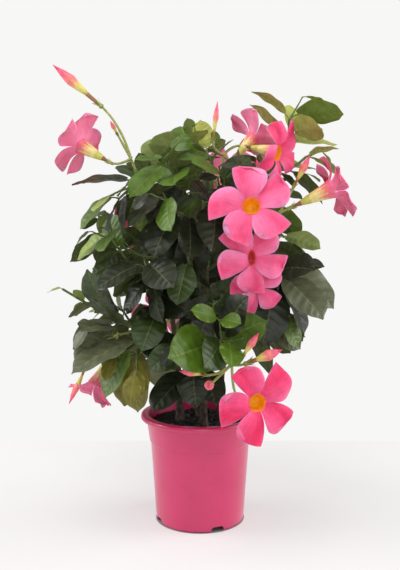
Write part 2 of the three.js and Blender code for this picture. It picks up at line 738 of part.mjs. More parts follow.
// The limbs by name, and the shoots with their leaves
function growPlant() {
  const limbs = new Map();
  for (const stem of STEMS) limbs.set(stem.name, stemLimb(stem));
  for (const bough of BOUGHS) limbs.set(bough.name, sideLimb(bough, BOUGH, limbs));
  const shoots = MASSES.map((mass) => ({ ...mass, ...sideLimb(mass, SHOOT, limbs) }));
  const named = [
    ...[...limbs.values(), ...shoots].map((limb) => [limb.name, limb]),
    ...SPRAYS.flatMap((spray) => sprayLimbs(spray, limbs).map((limb) => [spray.name, limb])),
  ];
  const limbPoints = named.flatMap(([name, limb]) =>
    limbSamples(limb).map((sample) => ({ name, ...sample })),
  );
  const blades = SPRAYS.map(({ name, blooms, buds }) =>
    bladeOf(name, [...blooms.flatMap(bloomSamples), ...buds.flatMap(budSamples)]),
  );
  for (const [index, shoot] of shoots.entries()) {
    shoot.leaves = growLeaves(shoot, GROWTH.firstSeed + index, blades, limbPoints);
  }
  return { limbs, shoots };
}

const { limbs, shoots } = growPlant();
const plant = new THREE.Group();
plant.add(meshOf("pot", potSolid(), COLOURS.pot), meshOf("soil", soilSolid(), COLOURS.soil));
for (const { name } of STEMS) plant.add(meshOf(name, limbSolid(limbs.get(name)), COLOURS.stem));
for (const { name } of BOUGHS) plant.add(meshOf(name, limbSolid(limbs.get(name)), COLOURS.bough));
for (const shoot of shoots) {
  const solid = fused([limbSolid(shoot), ...shoot.leaves.map(leafSolid)]);
  plant.add(meshOf(shoot.name, solid, COLOURS.leaf));
}
for (const spray of SPRAYS) plant.add(meshOf(spray.name, spraySolid(spray, limbs), COLOURS.flower));

export default plant;
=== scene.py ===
"""A mandevilla in a pink nursery pot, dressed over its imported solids.

Limbs, leaves and flowers grow again by the rule and from the tables of the solids, in millimetres, and are
carried further: veined leaves on curved petioles, young twigs in their axils, twisted petals, bark and peat.
"""

import math
from types import SimpleNamespace as Group

import bpy
import numpy as np
from mathutils import Matrix


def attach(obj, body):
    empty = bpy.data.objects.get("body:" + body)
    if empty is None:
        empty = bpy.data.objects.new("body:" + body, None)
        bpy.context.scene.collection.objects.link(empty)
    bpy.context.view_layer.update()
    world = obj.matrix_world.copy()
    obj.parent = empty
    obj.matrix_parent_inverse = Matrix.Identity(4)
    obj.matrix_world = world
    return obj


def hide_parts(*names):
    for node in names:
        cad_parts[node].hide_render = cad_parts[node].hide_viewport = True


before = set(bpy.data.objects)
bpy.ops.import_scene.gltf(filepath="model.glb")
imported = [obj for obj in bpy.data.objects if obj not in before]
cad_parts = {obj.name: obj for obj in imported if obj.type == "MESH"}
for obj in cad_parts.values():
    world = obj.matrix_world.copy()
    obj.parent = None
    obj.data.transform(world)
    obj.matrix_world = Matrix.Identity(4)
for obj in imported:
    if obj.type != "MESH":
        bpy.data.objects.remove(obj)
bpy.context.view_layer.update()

MM = 0.001
UP = np.array([0.0, 0.0, 1.0])

# Pot and soil, as in the solids
RIM_RADIUS = 70
POT_HEIGHT = 128
BASE_RADIUS = 52
BODY_TOP_RADIUS = 58.3
COLLAR_FOOT = 95
COLLAR_STEP = 1.4
COLLAR_TOP_RADIUS = 63
LIP_HEIGHT = 5.5
WALL = 2
FLOOR = 3
NOTCH = Group(count=4, turn=23, width=15, height=6.5)
SOIL_TOP = 117
CLEAR = 0.3

# Leaves, as in the solids: shares of a leaf's length, turns in degrees, ranges of draws, tries and gaps
LEAF_HALF_WIDTH = 0.34
LEAF_PETIOLE = 0.22
LEAF_BEND = 0.16
LEAF_FOLD = 0.12
PETIOLE_RADIUS = 0.9
LEAF_SPREAD = math.radians(50)
PAIR_TURN, TURN_RANGE, TWIST_RANGE = 90, 24, 30
DROOP_RANGE, LENGTH_RANGE, TIP_SHRINK = 0.5, 0.2, 0.2
OUTWARD_LEAN, LIGHT_OUT, LIGHT_UP = 0.35, 0.7, 0.75
UPRIGHT = 0.2
OUTLINE_SKEW, OUTLINE_FULLNESS = 0.9, 0.6
PETIOLE_SHARE = 0.025
SAMPLE_ROWS = 0.03 + 0.088 * np.arange(12)
SAMPLE_COLUMNS = np.arange(-4, 5) / 4
STALK_SAMPLES = np.array([0.3, 0.5, 0.7, 0.9])
WILDER, SMALLER_AFTER, SMALLER = 0.3, 8, 0.84
SEEDS = Group(leaf=101, twig=701, limbs=7, foliage=19, twigs=23, flowers=31, peat=41)
LEAF_TRIES = 24
LEAF_CLEARANCE = 4.8
LIMB_CLEARANCE = 0.05
FIRST_PAIR = 0.3
CROWN_FACING = 35
OPEN_TOP = 152
RIM_CLEARANCE = 5

# Limbs, as in the solids: the radius at the start and at the tip, and the flare at a stem's foot
STEM = (3.6, 2.1, 2.4)
STEM_RISE = 0.5
FLARE_REACH = 0.05
BOUGH = (2.2, 1.7, 0)
SHOOT = (2, 1.4, 0)
STALK = (1.6, 1.2, 0)
STALK_BEND, STALK_SINK, BUD_SINK, HUB_REACH = 0.45, 3, 2.5, 1.5
BEND_SHARE = 0.4

# Stems: where each leaves the soil, going straight up, and where its tip is
STEMS = {
    "stem_left": ((-24, 8), (-74, 2, 412)),
    "stem_middle": ((4, -14), (14, -22, 412)),
    "stem_right": ((24, 10), (96, 14, 428)),
    "stem_back": ((0, 26), (6, 40, 405)),
}

# Boughs: the limb that carries each, how far along it, and the bough's tip
BOUGHS = {
    "bough_left_high": ("stem_left", 0.84, (-68, -26, 390)),
    "bough_left_low": ("stem_left", 0.34, (-82, -8, 236)),
    "bough_front_left": ("stem_left", 0.24, (-56, -38, 214)),
    "bough_front_low": ("stem_middle", 0.27, (17, -72, 219)),
    "bough_right_middle": ("stem_right", 0.44, (77, -22, 292)),
    "bough_right_low": ("stem_right", 0.3, (68, -38, 238)),
    "bough_back_left": ("stem_back", 0.4, (-44, 66, 268)),
    "bough_back_low": ("stem_back", 0.2, (8, 72, 206)),
    "bough_back_right": ("stem_right", 0.22, (58, 48, 210)),
}

# Masses of leaves: the carrier, the place along it, the shoot's tip, the pairs of leaves, the leaf length,
# the turn of the first pair, the droop of the blades, their tint, and the leaves by number that have another
MASSES = {f"leaves_{place}": row for place, row in {
    "top_left": ("stem_middle", 0.9, (-34, -36, 414), 4, 56, 0, 0.65, "fresh", {4: "dark", 6: "deep"}),
    "top_middle": ("stem_middle", 1, (-2, -30, 440), 3, 34, 30, 0.2, "fresh",
        {0: "bright", 2: "mid", 3: "bright"}),
    "top_right": ("stem_right", 1, (102, 2, 470), 3, 60, 0, 0.3, "bright", {0: "fresh"}),
    "right_high": ("stem_right", 0.96, (124, 24, 428), 2, 56, 20, 0.2, "bright", {2: "deep"}),
    "right_middle": ("bough_right_middle", 1, (84, -46, 292), 3, 74, 40, 0.8, "dark", {0: "grey", 4: "grey"}),
    "right_low": ("bough_right_low", 1, (84, -50, 252), 3, 60, 20, 0.7, "grey", {0: "mid", 3: "dark"}),
    "front_low": ("bough_front_low", 1, (23, -90, 230), 2, 72, -20, 0.2, "fresh", {0: "deep", 1: "dark"}),
    "front_foot": ("stem_middle", 0.22, (-14, -60, 216), 3, 60, 40, 0.7, "dark", {1: "deep"}),
    "front_left": ("bough_front_left", 1, (-70, -60, 212), 4, 74, 30, 1.2, "olive", {0: "mid", 3: "grey"}),
    "left_low": ("bough_left_low", 1, (-100, -30, 226), 4, 70, 60, 1, "grey",
        {1: "mid", 3: "dark", 5: "deep"}),
    "left_middle": ("stem_left", 0.58, (-100, -14, 334), 5, 56, 20, 0.75, "deep",
        {0: "light", 1: "fresh", 2: "fresh", 7: "grey"}),
    "left_high": ("bough_left_high", 1, (-90, -34, 380), 3, 62, 120, 0.7, "dark", {0: "mid", 2: "light"}),
    "front_high_left": ("stem_middle", 0.78, (-34, -72, 378), 4, 58, 80, 0.8, "dark", {1: "fresh"}),
    "front_middle_left": ("stem_left", 0.42, (-58, -62, 304), 5, 60, 10, 0.8, "dark", {5: "deep"}),
    "front_middle": ("stem_middle", 0.52, (-14, -76, 326), 5, 62, 45, 0.8, "dark", {1: "deep"}),
    "front_middle_right": ("stem_middle", 0.4, (14, -74, 266), 4, 60, 60, 0.8, "dark", {1: "deep"}),
    "front_high": ("stem_middle", 0.86, (26, -58, 400), 4, 56, 60, 0.4, "dark", {0: "fresh", 2: "deep"}),
    "back_high": ("stem_back", 1, (-16, 56, 440), 4, 56, 20, 0.6, "mid",
        {0: "fresh", 2: "light", 4: "fresh"}),
    "back_high_left": ("stem_left", 0.9, (-66, 58, 404), 4, 58, 50, 0.5, "deep",
        {0: "light", 3: "mid", 6: "fresh"}),
    "back_high_right": ("stem_right", 0.8, (80, 60, 400), 4, 58, 10, 0.5, "deep", {2: "olive", 5: "fresh"}),
    "back_upper": ("stem_back", 0.74, (-10, 92, 366), 4, 60, 80, 0.7, "dark", {1: "deep", 4: "mid"}),
    "back_middle_left": ("bough_back_left", 1, (-66, 82, 310), 5, 60, 40, 0.75, "deep",
        {1: "dark", 3: "mid", 5: "dark"}),
    "back_middle": ("stem_back", 0.5, (14, 100, 312), 5, 62, 0, 0.8, "dark", {2: "deep", 5: "fresh"}),
    "back_middle_right": ("stem_right", 0.52, (82, 66, 322), 5, 60, 30, 0.75, "deep", {1: "grey", 4: "dark"}),
    "back_low": ("bough_back_low", 1, (6, 96, 226), 4, 62, 70, 0.85, "mid", {1: "deep"}),
    "back_low_left": ("stem_left", 0.2, (-70, 56, 214), 4, 62, 20, 0.85, "grey", {0: "deep", 3: "dark"}),
    "back_low_right": ("bough_back_right", 1, (84, 56, 230), 4, 62, 50, 0.85, "deep", {2: "mid", 4: "grey"}),
    "right_side": ("stem_right", 0.6, (94, 24, 334), 4, 52, 0, 0.7, "deep", {1: "light", 3: "light"}),
    "right_side_low": ("stem_right", 0.34, (84, 14, 246), 3, 54, 40, 0.85, "dark", {4: "deep"}),
    "left_side": ("stem_left", 0.66, (-104, 32, 330), 4, 58, 70, 0.7, "deep", {2: "mid"}),
    "left_side_low": ("stem_left", 0.27, (-92, 28, 244), 4, 60, 10, 0.85, "grey", {3: "deep"}),
    "left_sprig": ("bough_left_low", 0.8, (-158, -12, 276), 5, 20, 0, 0.5, "young", {}),
    "core_high": ("stem_middle", 0.62, (30, 6, 344), 4, 50, 20, 0.5, "dark", {}),
    "core_low": ("stem_back", 0.5, (34, 12, 302), 4, 50, 60, 0.5, "dark", {}),
}.items()}

# Sprays: the carrier, the place along it, the hub its stalks leave from, then the mouth, facing, size, turn
# and openness of each open flower, and the foot, tip and greatest radius of each bud
SPRAYS = {
    "flowers_left_high": (
        "stem_left", 1, (-79, -2, 425),
        [((-138, 18, 440), (-0.78, 0.46, 0.42), 0.92, 10, 0.9)],
        [((-112, -5, 484), (-165, -10, 529), 6), ((-92, -12, 450), (-100, -22, 466), 2.6)],
    ),
    "flowers_upper_right": (
        "stem_middle", 0.96, (26, -32, 428),
        [
            ((60, -6, 448), (0.58, 0.5, 0.62), 0.82, 20, 0.88),
            ((85, -38, 430), (0.82, -0.5, -0.2), 0.88, 30, 0.92),
        ],
        [((14, -44, 440), (19, -46, 485), 3.2)],
    ),
    "flowers_centre": (
        "stem_right", 0.62, (48, -24, 336),
        [
            ((52, -116, 373), (-0.06, -0.92, 0.38), 0.94, 8, 1),
            ((54, -97, 319), (0.06, -0.99, -0.04), 0.82, 36, 1),
            ((60, -84, 288), (0.12, -0.98, -0.12), 0.68, 14, 0.95),
        ],
        [((70, -50, 392), (60, -58, 424), 3)],
    ),
    "flowers_right": (
        "stem_right", 0.78, (90, -22, 364),
        [((147, -22, 390), (0.9, 0.06, 0.4), 1, 0, 0.82)],
        [((104, -28, 392), (122, -32, 428), 4.4)],
    ),
    "flowers_front_low": (
        "bough_front_low", 0.86, (34, -88, 204),
        [((59, -122, 171), (0.36, -0.92, 0.1), 0.95, 20, 1)],
        [
            ((42, -104, 212), (61, -112, 243), 4.2),
            ((48, -104, 208), (86, -108, 224), 6),
            ((8, -96, 194), (-22, -108, 201), 3.6),
            ((12, -100, 186), (8, -130, 190), 5),
        ],
    ),
    "flowers_left_low": (
        "bough_left_low", 0.9, (-94, -26, 226),
        [((-120, -26, 168), (-0.46, -0.12, -0.88), 0.86, 0, 0.6)],
        [((-128, -30, 194), (-150, -34, 146), 3.6)],
    ),
    "flowers_left_back": (
        "stem_left", 0.72, (-46, 30, 356),
        [((-70, 88, 352), (-0.42, 0.9, 0.06), 0.95, 0, 0.95)],
        [],
    ),
    "flowers_back_high": (
        "stem_back", 0.9, (22, 56, 396),
        [((40, 118, 398), (0.22, 0.92, 0.2), 1, 40, 1)],
        [((4, 78, 420), (-6, 92, 452), 4.4)],
    ),
    "flowers_back_right": (
        "stem_right", 0.36, (62, 40, 262),
        [((82, 100, 258), (0.42, 0.9, 0.02), 0.98, 20, 0.95)],
        [((74, 70, 276), (80, 96, 296), 4.2)],
    ),
    "flowers_back_left": (
        "bough_back_left", 0.72, (-42, 76, 244),
        [((-48, 136, 224), (-0.2, 0.96, 0.04), 0.94, 60, 1)],
        [],
    ),
}

# Flowers: the foot of the tube along the axis, the count of the petals, how far out they are rooted, how far
# they reach at the point and at the round corner, their turns about the axis, and how a half-open one cups
TUBE_FOOT = -52
PETALS = 5
PETAL_ROOT = 10
PETAL_POINT, PETAL_MARGIN, PETAL_CORNER = 48, 45.5, 34
ROOT_TURN, POINT_TURN, CORNER_TURN = 37, 22, -36
ROUND_BOW = 5
CUP = 0.9
PINCHED = {("flowers_centre", 1): 0.45, ("flowers_centre", 2): 0.45}
OUTER_TUBE = [
    (-52, 1.2), (-50, 1.8), (-43, 1.8), (-38, 2.8), (-31, 4.4),
    (-24, 5.8), (-17, 7), (-10, 8.2), (-4, 9.6), (0, 10.8),
]
INNER_TUBE = [(1.2, 10.4), (0.4, 9.3), (-4, 8.4), (-9, 6.8), (-13, 4.2), (-15, 1.5)]
BUD_SHAPE = [
    (0, 0.2), (0.05, 0.34), (0.3, 0.42), (0.45, 0.72),
    (0.62, 1), (0.8, 0.66), (0.95, 0.16), (1, 0.03),
]

# Colours as they look in soft white light, in steps from 0 to 255; the bright and grey tints also hold
# painted light
TINTS = {
    "dark": (30, 36, 19),
    "deep": (46, 64, 22),
    "mid": (88, 112, 44),
    "light": (148, 168, 90),
    "fresh": (74, 104, 20),
    "olive": (112, 106, 36),
    # bright is partly the top leaves' own yellow-green and partly painted light, for light shining through
    # them
    "bright": (172, 178, 78),
    # grey is partly the leaves' own grey-green and partly a painted sheen
    "grey": (82, 87, 60),
    "young": (142, 160, 76),
}


# Numbers and directions


def seeded(seed):
    """Random numbers from 0 to 1, the same as in the solids."""
    whole = 0xFFFFFFFF
    state = seed & whole

    def draw():
        nonlocal state
        state = (state + 0x6D2B79F5) & whole
        t = ((state ^ (state >> 15)) * (1 | state)) & whole
        t = (t + (((t ^ (t >> 7)) * (61 | t)) & whole)) & whole ^ t
        return (t ^ (t >> 14)) / (whole + 1)

    return draw


def unit(vectors):
    return vectors / np.linalg.norm(vectors, axis=-1, keepdims=True)


def across(tangent, reference):
    """Two directions square to a tangent, the second a quarter turn from the first."""
    side = unit(reference - np.sum(reference * tangent, axis=-1, keepdims=True) * tangent)
    return side, np.cross(tangent, side)


def bell(x, middle, width):
    """A smooth hump of height 1."""
    return np.exp(-(((x - middle) / width) ** 2))


def circle(count):
    """Angles all round."""
    return 2 * np.pi * np.arange(count) / count


def ringed(first, second, angle):
    """Directions at angles from a first direction towards a second."""
    return first * np.cos(angle)[..., None] + second * np.sin(angle)[..., None]


def square_to(axis):
    """Two directions square to an axis and to each other."""
    return across(axis, np.eye(3)[int(np.argmin(np.abs(axis)))])


def lerp(a, b, t):
    return a + (b - a) * t


def curve(start, middle, tip, t):
    """Points on the quadratic curve of three corners."""
    t = np.asarray(t, float)[..., None]
    return (1 - t) ** 2 * start + 2 * t * (1 - t) * middle + t**2 * tip


def smooth(low, high, x):
    """A step from 0 at low to 1 at high, with soft ends."""
    t = np.clip((x - low) / (high - low), 0, 1)
    return t * t * (3 - 2 * t)


# Skeleton


class Limb:
    """A round limb along a quadratic curve."""

    step = 1e-4
    spacing = 4

    def __init__(self, name, start, middle, tip, shape):
        self.name = name
        self.corners = [np.array(corner, float) for corner in (start, middle, tip)]
        self.thick, self.thin, self.flare = shape

    def point(self, t):
        return curve(*self.corners, t)

    def tangent(self, t):
        before, after = (np.clip(np.asarray(t) + way * self.step, 0, 1) for way in (-1, 1))
        return unit(self.point(after) - self.point(before))

    def radius(self, t):
        return lerp(self.thick, self.thin, t) + self.flare * np.exp(-t / FLARE_REACH)

    def length(self, points):
        """The length along the curve, measured through a number of points."""
        return np.linalg.norm(np.diff(self.point(np.linspace(0, 1, points)), axis=0), axis=1).sum()

    def samples(self):
        """Points every few millimetres, with their radii."""
        steps = max(4, math.ceil(self.length(201) / self.spacing))
        t = np.arange(steps + 1) / steps
        return self.point(t), self.radius(t)


class Shoot(Limb):
    """A limb with pairs of leaves."""

    def carry(self, pairs, leaf, turn, droop):
        self.pairs, self.leaf, self.turn, self.droop = pairs, leaf, turn, droop
        return self

    def seat(self, pair):
        """A pair's share of the way up, its place, the shoot's way there and two ways square to it."""
        share = pair / (self.pairs - 1) if self.pairs > 1 else 1
        t = lerp(FIRST_PAIR, 1, share)
        start, tangent = self.point(t), self.tangent(t)
        level = np.cross(tangent, UP)
        reference = level if np.linalg.norm(level) > UPRIGHT else np.cross(outward(start), UP)
        return share, start, tangent, *across(tangent, reference)


def stem_limb(name, foot, tip):
    start = (*foot, SOIL_TOP + CLEAR)
    middle = (*foot, lerp(SOIL_TOP, tip[2], STEM_RISE))
    return Limb(name, start, middle, tip, STEM)


def seat_on(carrier, at, toward):
    """Where a limb starts and which way: on from its carrier's tip, or square off its side."""
    way, point = carrier.tangent(at), carrier.point(at)
    if at == 1:
        return point + way * CLEAR, way
    side = across(way, toward - point)[0]
    return point + side * (carrier.radius(at) + CLEAR), side


def side_limb(kind, name, carrier, at, tip, shape):
    """A side limb that leaves its carrier and bends over to its tip."""
    end = np.array(tip, float)
    start, way = seat_on(carrier, at, end)
    middle = start + way * BEND_SHARE * np.linalg.norm(end - start)
    return kind(name, start, middle, end, shape)


# Leaves


def leaf_outline(t):
    """A blade's width along it, as a share of the greatest."""
    return np.sin(np.pi * t**OUTLINE_SKEW) ** OUTLINE_FULLNESS


def blade_samples(leaf):
    """Points all over a leaf's blade."""
    t, a = SAMPLE_ROWS[:, None, None], SAMPLE_COLUMNS[None, :, None]
    length = leaf.length
    half = LEAF_HALF_WIDTH * length * leaf_outline(t)
    centre = leaf.foot + leaf.axis * length * t - leaf.normal * LEAF_BEND * length * t * t
    normal = unit(leaf.normal + leaf.axis * 2 * LEAF_BEND * t)
    return (centre + leaf.right * a * half + normal * LEAF_FOLD * half * np.abs(a)).reshape(-1, 3)


def petiole_samples(leaf):
    return lerp(leaf.start, leaf.foot, STALK_SAMPLES[:, None])


def outward(point):
    """The level way that leaves turn to: out of the crown, more to its front or its back."""
    return unit(np.array([point[0], point[1] + np.sign(point[1]) * CROWN_FACING, 0]))


def turned(vector, axis, angle):
    """A vector square to an axis, turned about it."""
    return vector * math.cos(angle) + np.cross(axis, vector) * math.sin(angle)


def leaf_try(shoot, pair, side, attempt, draw):
    """One try at a leaf: its petiole leaves the shoot, and its blade droops and turns to the light."""
    share, start, tangent, first, second = shoot.seat(pair)
    out = outward(start)
    wild = 1 + WILDER * attempt
    roll = math.radians(shoot.turn + PAIR_TURN * pair + 180 * side + (draw() - 0.5) * TURN_RANGE * wild)
    droop = shoot.droop * (1 + (draw() - 0.5) * DROOP_RANGE * wild)
    twist = math.radians((draw() - 0.5) * TWIST_RANGE * wild)
    size = 1 + (draw() - 0.5) * LENGTH_RANGE
    length = shoot.leaf * (1 - TIP_SHRINK * share) * size * (SMALLER if attempt > SMALLER_AFTER else 1)
    sideways = first * math.cos(roll) + second * math.sin(roll)
    petiole = unit(tangent * math.cos(LEAF_SPREAD) + sideways * math.sin(LEAF_SPREAD) + out * OUTWARD_LEAN)
    axis = unit(petiole - UP * droop)
    normal = turned(across(axis, out * LIGHT_OUT + UP * LIGHT_UP)[0], axis, twist)
    foot = start + petiole * LEAF_PETIOLE * length
    stalk = min(PETIOLE_RADIUS, PETIOLE_SHARE * length)
    right = np.cross(axis, normal)
    return Group(start=start, foot=foot, axis=axis, normal=normal, right=right, length=length, stalk=stalk)


def inner_radius(height):
    """The radius of the pot's inner wall at a height."""
    if height < COLLAR_FOOT:
        return lerp(BASE_RADIUS, BODY_TOP_RADIUS, height / COLLAR_FOOT) - WALL
    share = (height - COLLAR_FOOT) / (POT_HEIGHT - COLLAR_FOOT)
    return lerp(BODY_TOP_RADIUS, COLLAR_TOP_RADIUS, share) - WALL


def in_pot(points):
    """Whether any point lies in the pot, in the soil or too near the rim."""
    radius, height = np.hypot(points[:, 0], points[:, 1]), points[:, 2]
    return np.any((height < OPEN_TOP) & (radius < RIM_RADIUS + RIM_CLEARANCE))


class Room:
    """The space that leaves grow into, with the blades, flowers and limbs that they keep off."""

    def __init__(self):
        self.owners, self.blades, self.boxes = [], [], []
        self.names, self.points, self.radii = np.array([], str), np.zeros((0, 3)), np.zeros(0)

    def add_blade(self, owner, points):
        self.owners.append(owner)
        self.blades.append(points)
        self.boxes.append((points.min(0), points.max(0)))

    def add_limb(self, name, points, radii):
        self.names = np.append(self.names, [name] * len(points))
        self.points = np.concatenate([self.points, points])
        self.radii = np.append(self.radii, np.broadcast_to(radii, len(points)))

    def clear(self, points, gap, exempt=None):
        """Whether points keep clear of the pot and of all in the room, but for one owner's."""
        if in_pot(points):
            return False
        low, high = points.min(0) - LEAF_CLEARANCE, points.max(0) + LEAF_CLEARANCE
        boxes = np.array(self.boxes)
        meets = np.all((boxes[:, 1] >= low) & (boxes[:, 0] <= high), axis=1)
        for index in np.flatnonzero(meets):
            if self.owners[index] != exempt:
                apart = np.sum((points[:, None] - self.blades[index][None]) ** 2, axis=-1)
                if apart.min() <= LEAF_CLEARANCE**2:
                    return False
        inside = np.all((self.points >= low) & (self.points <= high), axis=1) & (self.names != exempt)
        apart = np.sum((points[:, None] - self.points[inside][None]) ** 2, axis=-1)
        return bool(np.all(apart > (self.radii[inside] + gap) ** 2))


def grow_leaves(shoot, draw, room, tries=LEAF_TRIES, reach=None):
    """A shoot's leaves from its tip down, each the first clear one of its tries, or left out."""
    leaves = []
    for pair in range(shoot.pairs - 1, -1, -1):
        for side in (0, 1):
            for attempt in range(tries):
                leaf = leaf_try(shoot, pair, side, attempt, draw)
                points, stalk = blade_samples(leaf), petiole_samples(leaf)
                gap = LIMB_CLEARANCE * leaf.length
                if reach is not None and not within(points, reach):
                    continue
                if not room.clear(points, gap) or not room.clear(stalk, gap, shoot.name):
                    continue
                room.add_blade(shoot.name, points)
                room.add_limb(shoot.name, stalk, leaf.stalk)
                leaves.append(leaf)
                break
    return leaves


def within(points, box):
    return bool(np.all(points >= box[0]) and np.all(points <= box[1]))


# Flowers


class Bloom:
    """An open flower's frame: its size, its axis, and two directions that its petals spread in."""

    steep = 0.8

    def __init__(self, mouth, face, size, turn, openness, pinch=1):
        self.mouth, self.size = np.array(mouth, float), size
        self.turn, self.openness, self.pinch = turn, openness, pinch
        self.axis = unit(np.array(face, float))
        reference = np.array([0.0, 1.0, 0.0]) if abs(self.axis[2]) > self.steep else UP
        self.first, self.second = across(self.axis, reference)

    def along(self, distance):
        return self.mouth + self.axis * distance * self.size

    def place(self, lift, out, angle):
        """Points at a height along the axis, a distance out from it, and an angle about it."""
        squeeze = lerp(self.pinch, 1, smooth(PETAL_ROOT, 3 * PETAL_ROOT, out))
        way = self.first * np.cos(angle)[..., None] + self.second * (squeeze * np.sin(angle))[..., None]
        offset = self.axis * np.asarray(lift)[..., None] + way * np.asarray(out)[..., None]
        return self.mouth + offset * self.size

    def fold(self, lift, out):
        """A petal's lift and distance out, in a flower that is only part open."""
        shut = (1 - self.openness) * np.maximum(out - PETAL_ROOT, 0)
        return lift + CUP * shut, out - shut


def stalk_limb(hub, foot, way):
    """A stalk from a spray's hub into a flower or bud, along its axis."""
    middle = foot - way * STALK_BEND * np.linalg.norm(foot - hub)
    return Limb("stalk", hub, middle, foot, STALK)


def spray_limbs(name, limbs):
    """The stem of a spray, which runs on a little past the hub, and its stalks."""
    on, at, hub, blooms, buds = SPRAYS[name]
    stem = side_limb(Limb, name, limbs[on], at, hub, STALK)
    _, middle, hub = stem.corners
    stem.corners[2] = hub + unit(hub - middle) * HUB_REACH
    stalks = []
    for bloom in (Bloom(*row) for row in blooms):
        stalks.append(stalk_limb(hub, bloom.along(TUBE_FOOT + STALK_SINK), bloom.axis))
    for foot, tip, _ in buds:
        way = unit(np.subtract(tip, foot))
        stalks.append(stalk_limb(hub, np.array(foot) + way * BUD_SINK, way))
    return [stem, *stalks]


def spray_samples(name):
    """Points over a spray's flowers, for keeping leaves off them."""
    _, _, _, blooms, buds = SPRAYS[name]
    points = []
    for bloom in (Bloom(*row) for row in blooms):
        points.append(bloom.along(np.arange(TUBE_FOOT, 0, 5)[:, None]))
        for out in range(10, 50, 5):
            lift, reach = bloom.fold(4.0 if out > 12 else 0.0, float(out))
            points.append(bloom.place(lift, reach, circle(36)))
    for foot, tip, _ in buds:
        points.append(lerp(np.array(foot, float), np.array(tip, float), (np.arange(9) / 8)[:, None]))
    return np.concatenate(points)


def view_samples(name):
    """Points in front of a spray's flowers, which young leaves leave free."""
    blooms = [Bloom(*row) for row in SPRAYS[name][3]]
    places = [(lift, out) for lift in range(10, 60, 8) for out in (0, 10, 20, 30)]
    return np.concatenate([bloom.place(lift, out, circle(12)) for bloom in blooms for lift, out in places])


# Growth of the whole plant

TWIG = Group(
    length=0.4, shortest=0.7, longer=0.6, leaf=0.5, spread=math.radians(42), turn=30,
    turn_range=60, lean=0.3, rise=0.25, radii=(1.2, 0.8, 0), pairs=2, tries=8, gap=1.5,
)
TIP_TWIG = Group(
    length=11, leaf=13, full_from=40, turn=45, droop=0.1, rise=0.3, radii=(1, 0.6, 0),
)
REACH_MARGIN = 6


def bent_twig(name, start, way, length, kind):
    """A twig that starts out straight and lifts its tip."""
    middle = start + way * length * 0.5
    return Shoot(name, start, middle, middle + (way + UP * kind.rise) * length * 0.5, kind.radii)


def axil_twig(shoot, pair, side, draw):
    """A young twig from the axil of a leaf, with two pairs of smaller leaves."""
    _, start, tangent, first, second = shoot.seat(pair)
    turn = shoot.turn + PAIR_TURN * pair + 180 * side + TWIG.turn + TWIG.turn_range * draw()
    roll, spread = math.radians(turn), TWIG.spread
    sideways = first * math.cos(roll) + second * math.sin(roll)
    way = unit(tangent * math.cos(spread) + sideways * math.sin(spread) + outward(start) * TWIG.lean)
    length = TWIG.length * shoot.leaf * (TWIG.shortest + TWIG.longer * draw())
    twig = bent_twig(f"{shoot.name}_{pair}_{side}", start, way, length, TWIG)
    return twig.carry(TWIG.pairs, TWIG.leaf * shoot.leaf, 360 * draw(), shoot.droop)


def tip_twig(shoot):
    """The young end of a shoot, with its last small pair of leaves."""
    size = min(1, shoot.leaf / TIP_TWIG.full_from)
    start, way = shoot.point(1.0), shoot.tangent(1.0)
    twig = bent_twig(f"{shoot.name}_tip", start, way, TIP_TWIG.length * size, TIP_TWIG)
    return twig.carry(1, TIP_TWIG.leaf * size, shoot.turn + TIP_TWIG.turn, TIP_TWIG.droop)


def grow_plant():
    """The limbs, shoots, stalks, leaves and finer twigs by name."""
    limbs = {name: stem_limb(name, *row) for name, row in STEMS.items()}
    for name, (on, at, tip) in BOUGHS.items():
        limbs[name] = side_limb(Limb, name, limbs[on], at, tip, BOUGH)
    shoots = {}
    for name, (on, at, tip, pairs, leaf, turn, droop, _, _) in MASSES.items():
        shoots[name] = side_limb(Shoot, name, limbs[on], at, tip, SHOOT).carry(pairs, leaf, turn, droop)
    stalks = {name: spray_limbs(name, limbs) for name in SPRAYS}
    room = Room()
    for limb in [*limbs.values(), *shoots.values()]:
        room.add_limb(limb.name, *limb.samples())
    for name, own in stalks.items():
        for limb in own:
            room.add_limb(name, *limb.samples())
        room.add_blade(name, spray_samples(name))
    leaves = {}
    for index, (name, shoot) in enumerate(shoots.items()):
        leaves[name] = grow_leaves(shoot, seeded(SEEDS.leaf + index), room)
    finer = grow_finer(shoots, leaves, room)
    return limbs, shoots, stalks, leaves, finer


def grow_finer(shoots, leaves, room):
    """Twigs at the tips and in the axils of each mass, within the space of its leaves."""
    for name in SPRAYS:
        room.add_blade("view", view_samples(name))
    finer = {}
    for index, (name, shoot) in enumerate(shoots.items()):
        draw = seeded(SEEDS.twig + index)
        held = np.concatenate([blade_samples(leaf) for leaf in leaves[name]])
        reach = held.min(0) - REACH_MARGIN, held.max(0) + REACH_MARGIN
        twigs = [tip_twig(shoot)]
        twigs += [axil_twig(shoot, pair, side, draw) for pair in range(shoot.pairs) for side in (0, 1)]
        finer[name] = []
        for twig in twigs:
            points, radii = twig.samples()
            if not room.clear(points[2:], TWIG.gap, name):
                continue
            grown = grow_leaves(twig, draw, room, TWIG.tries, reach)
            if grown:
                room.add_limb(twig.name, points, radii)
                finer[name].append((twig, grown))
    return finer


# Meshes


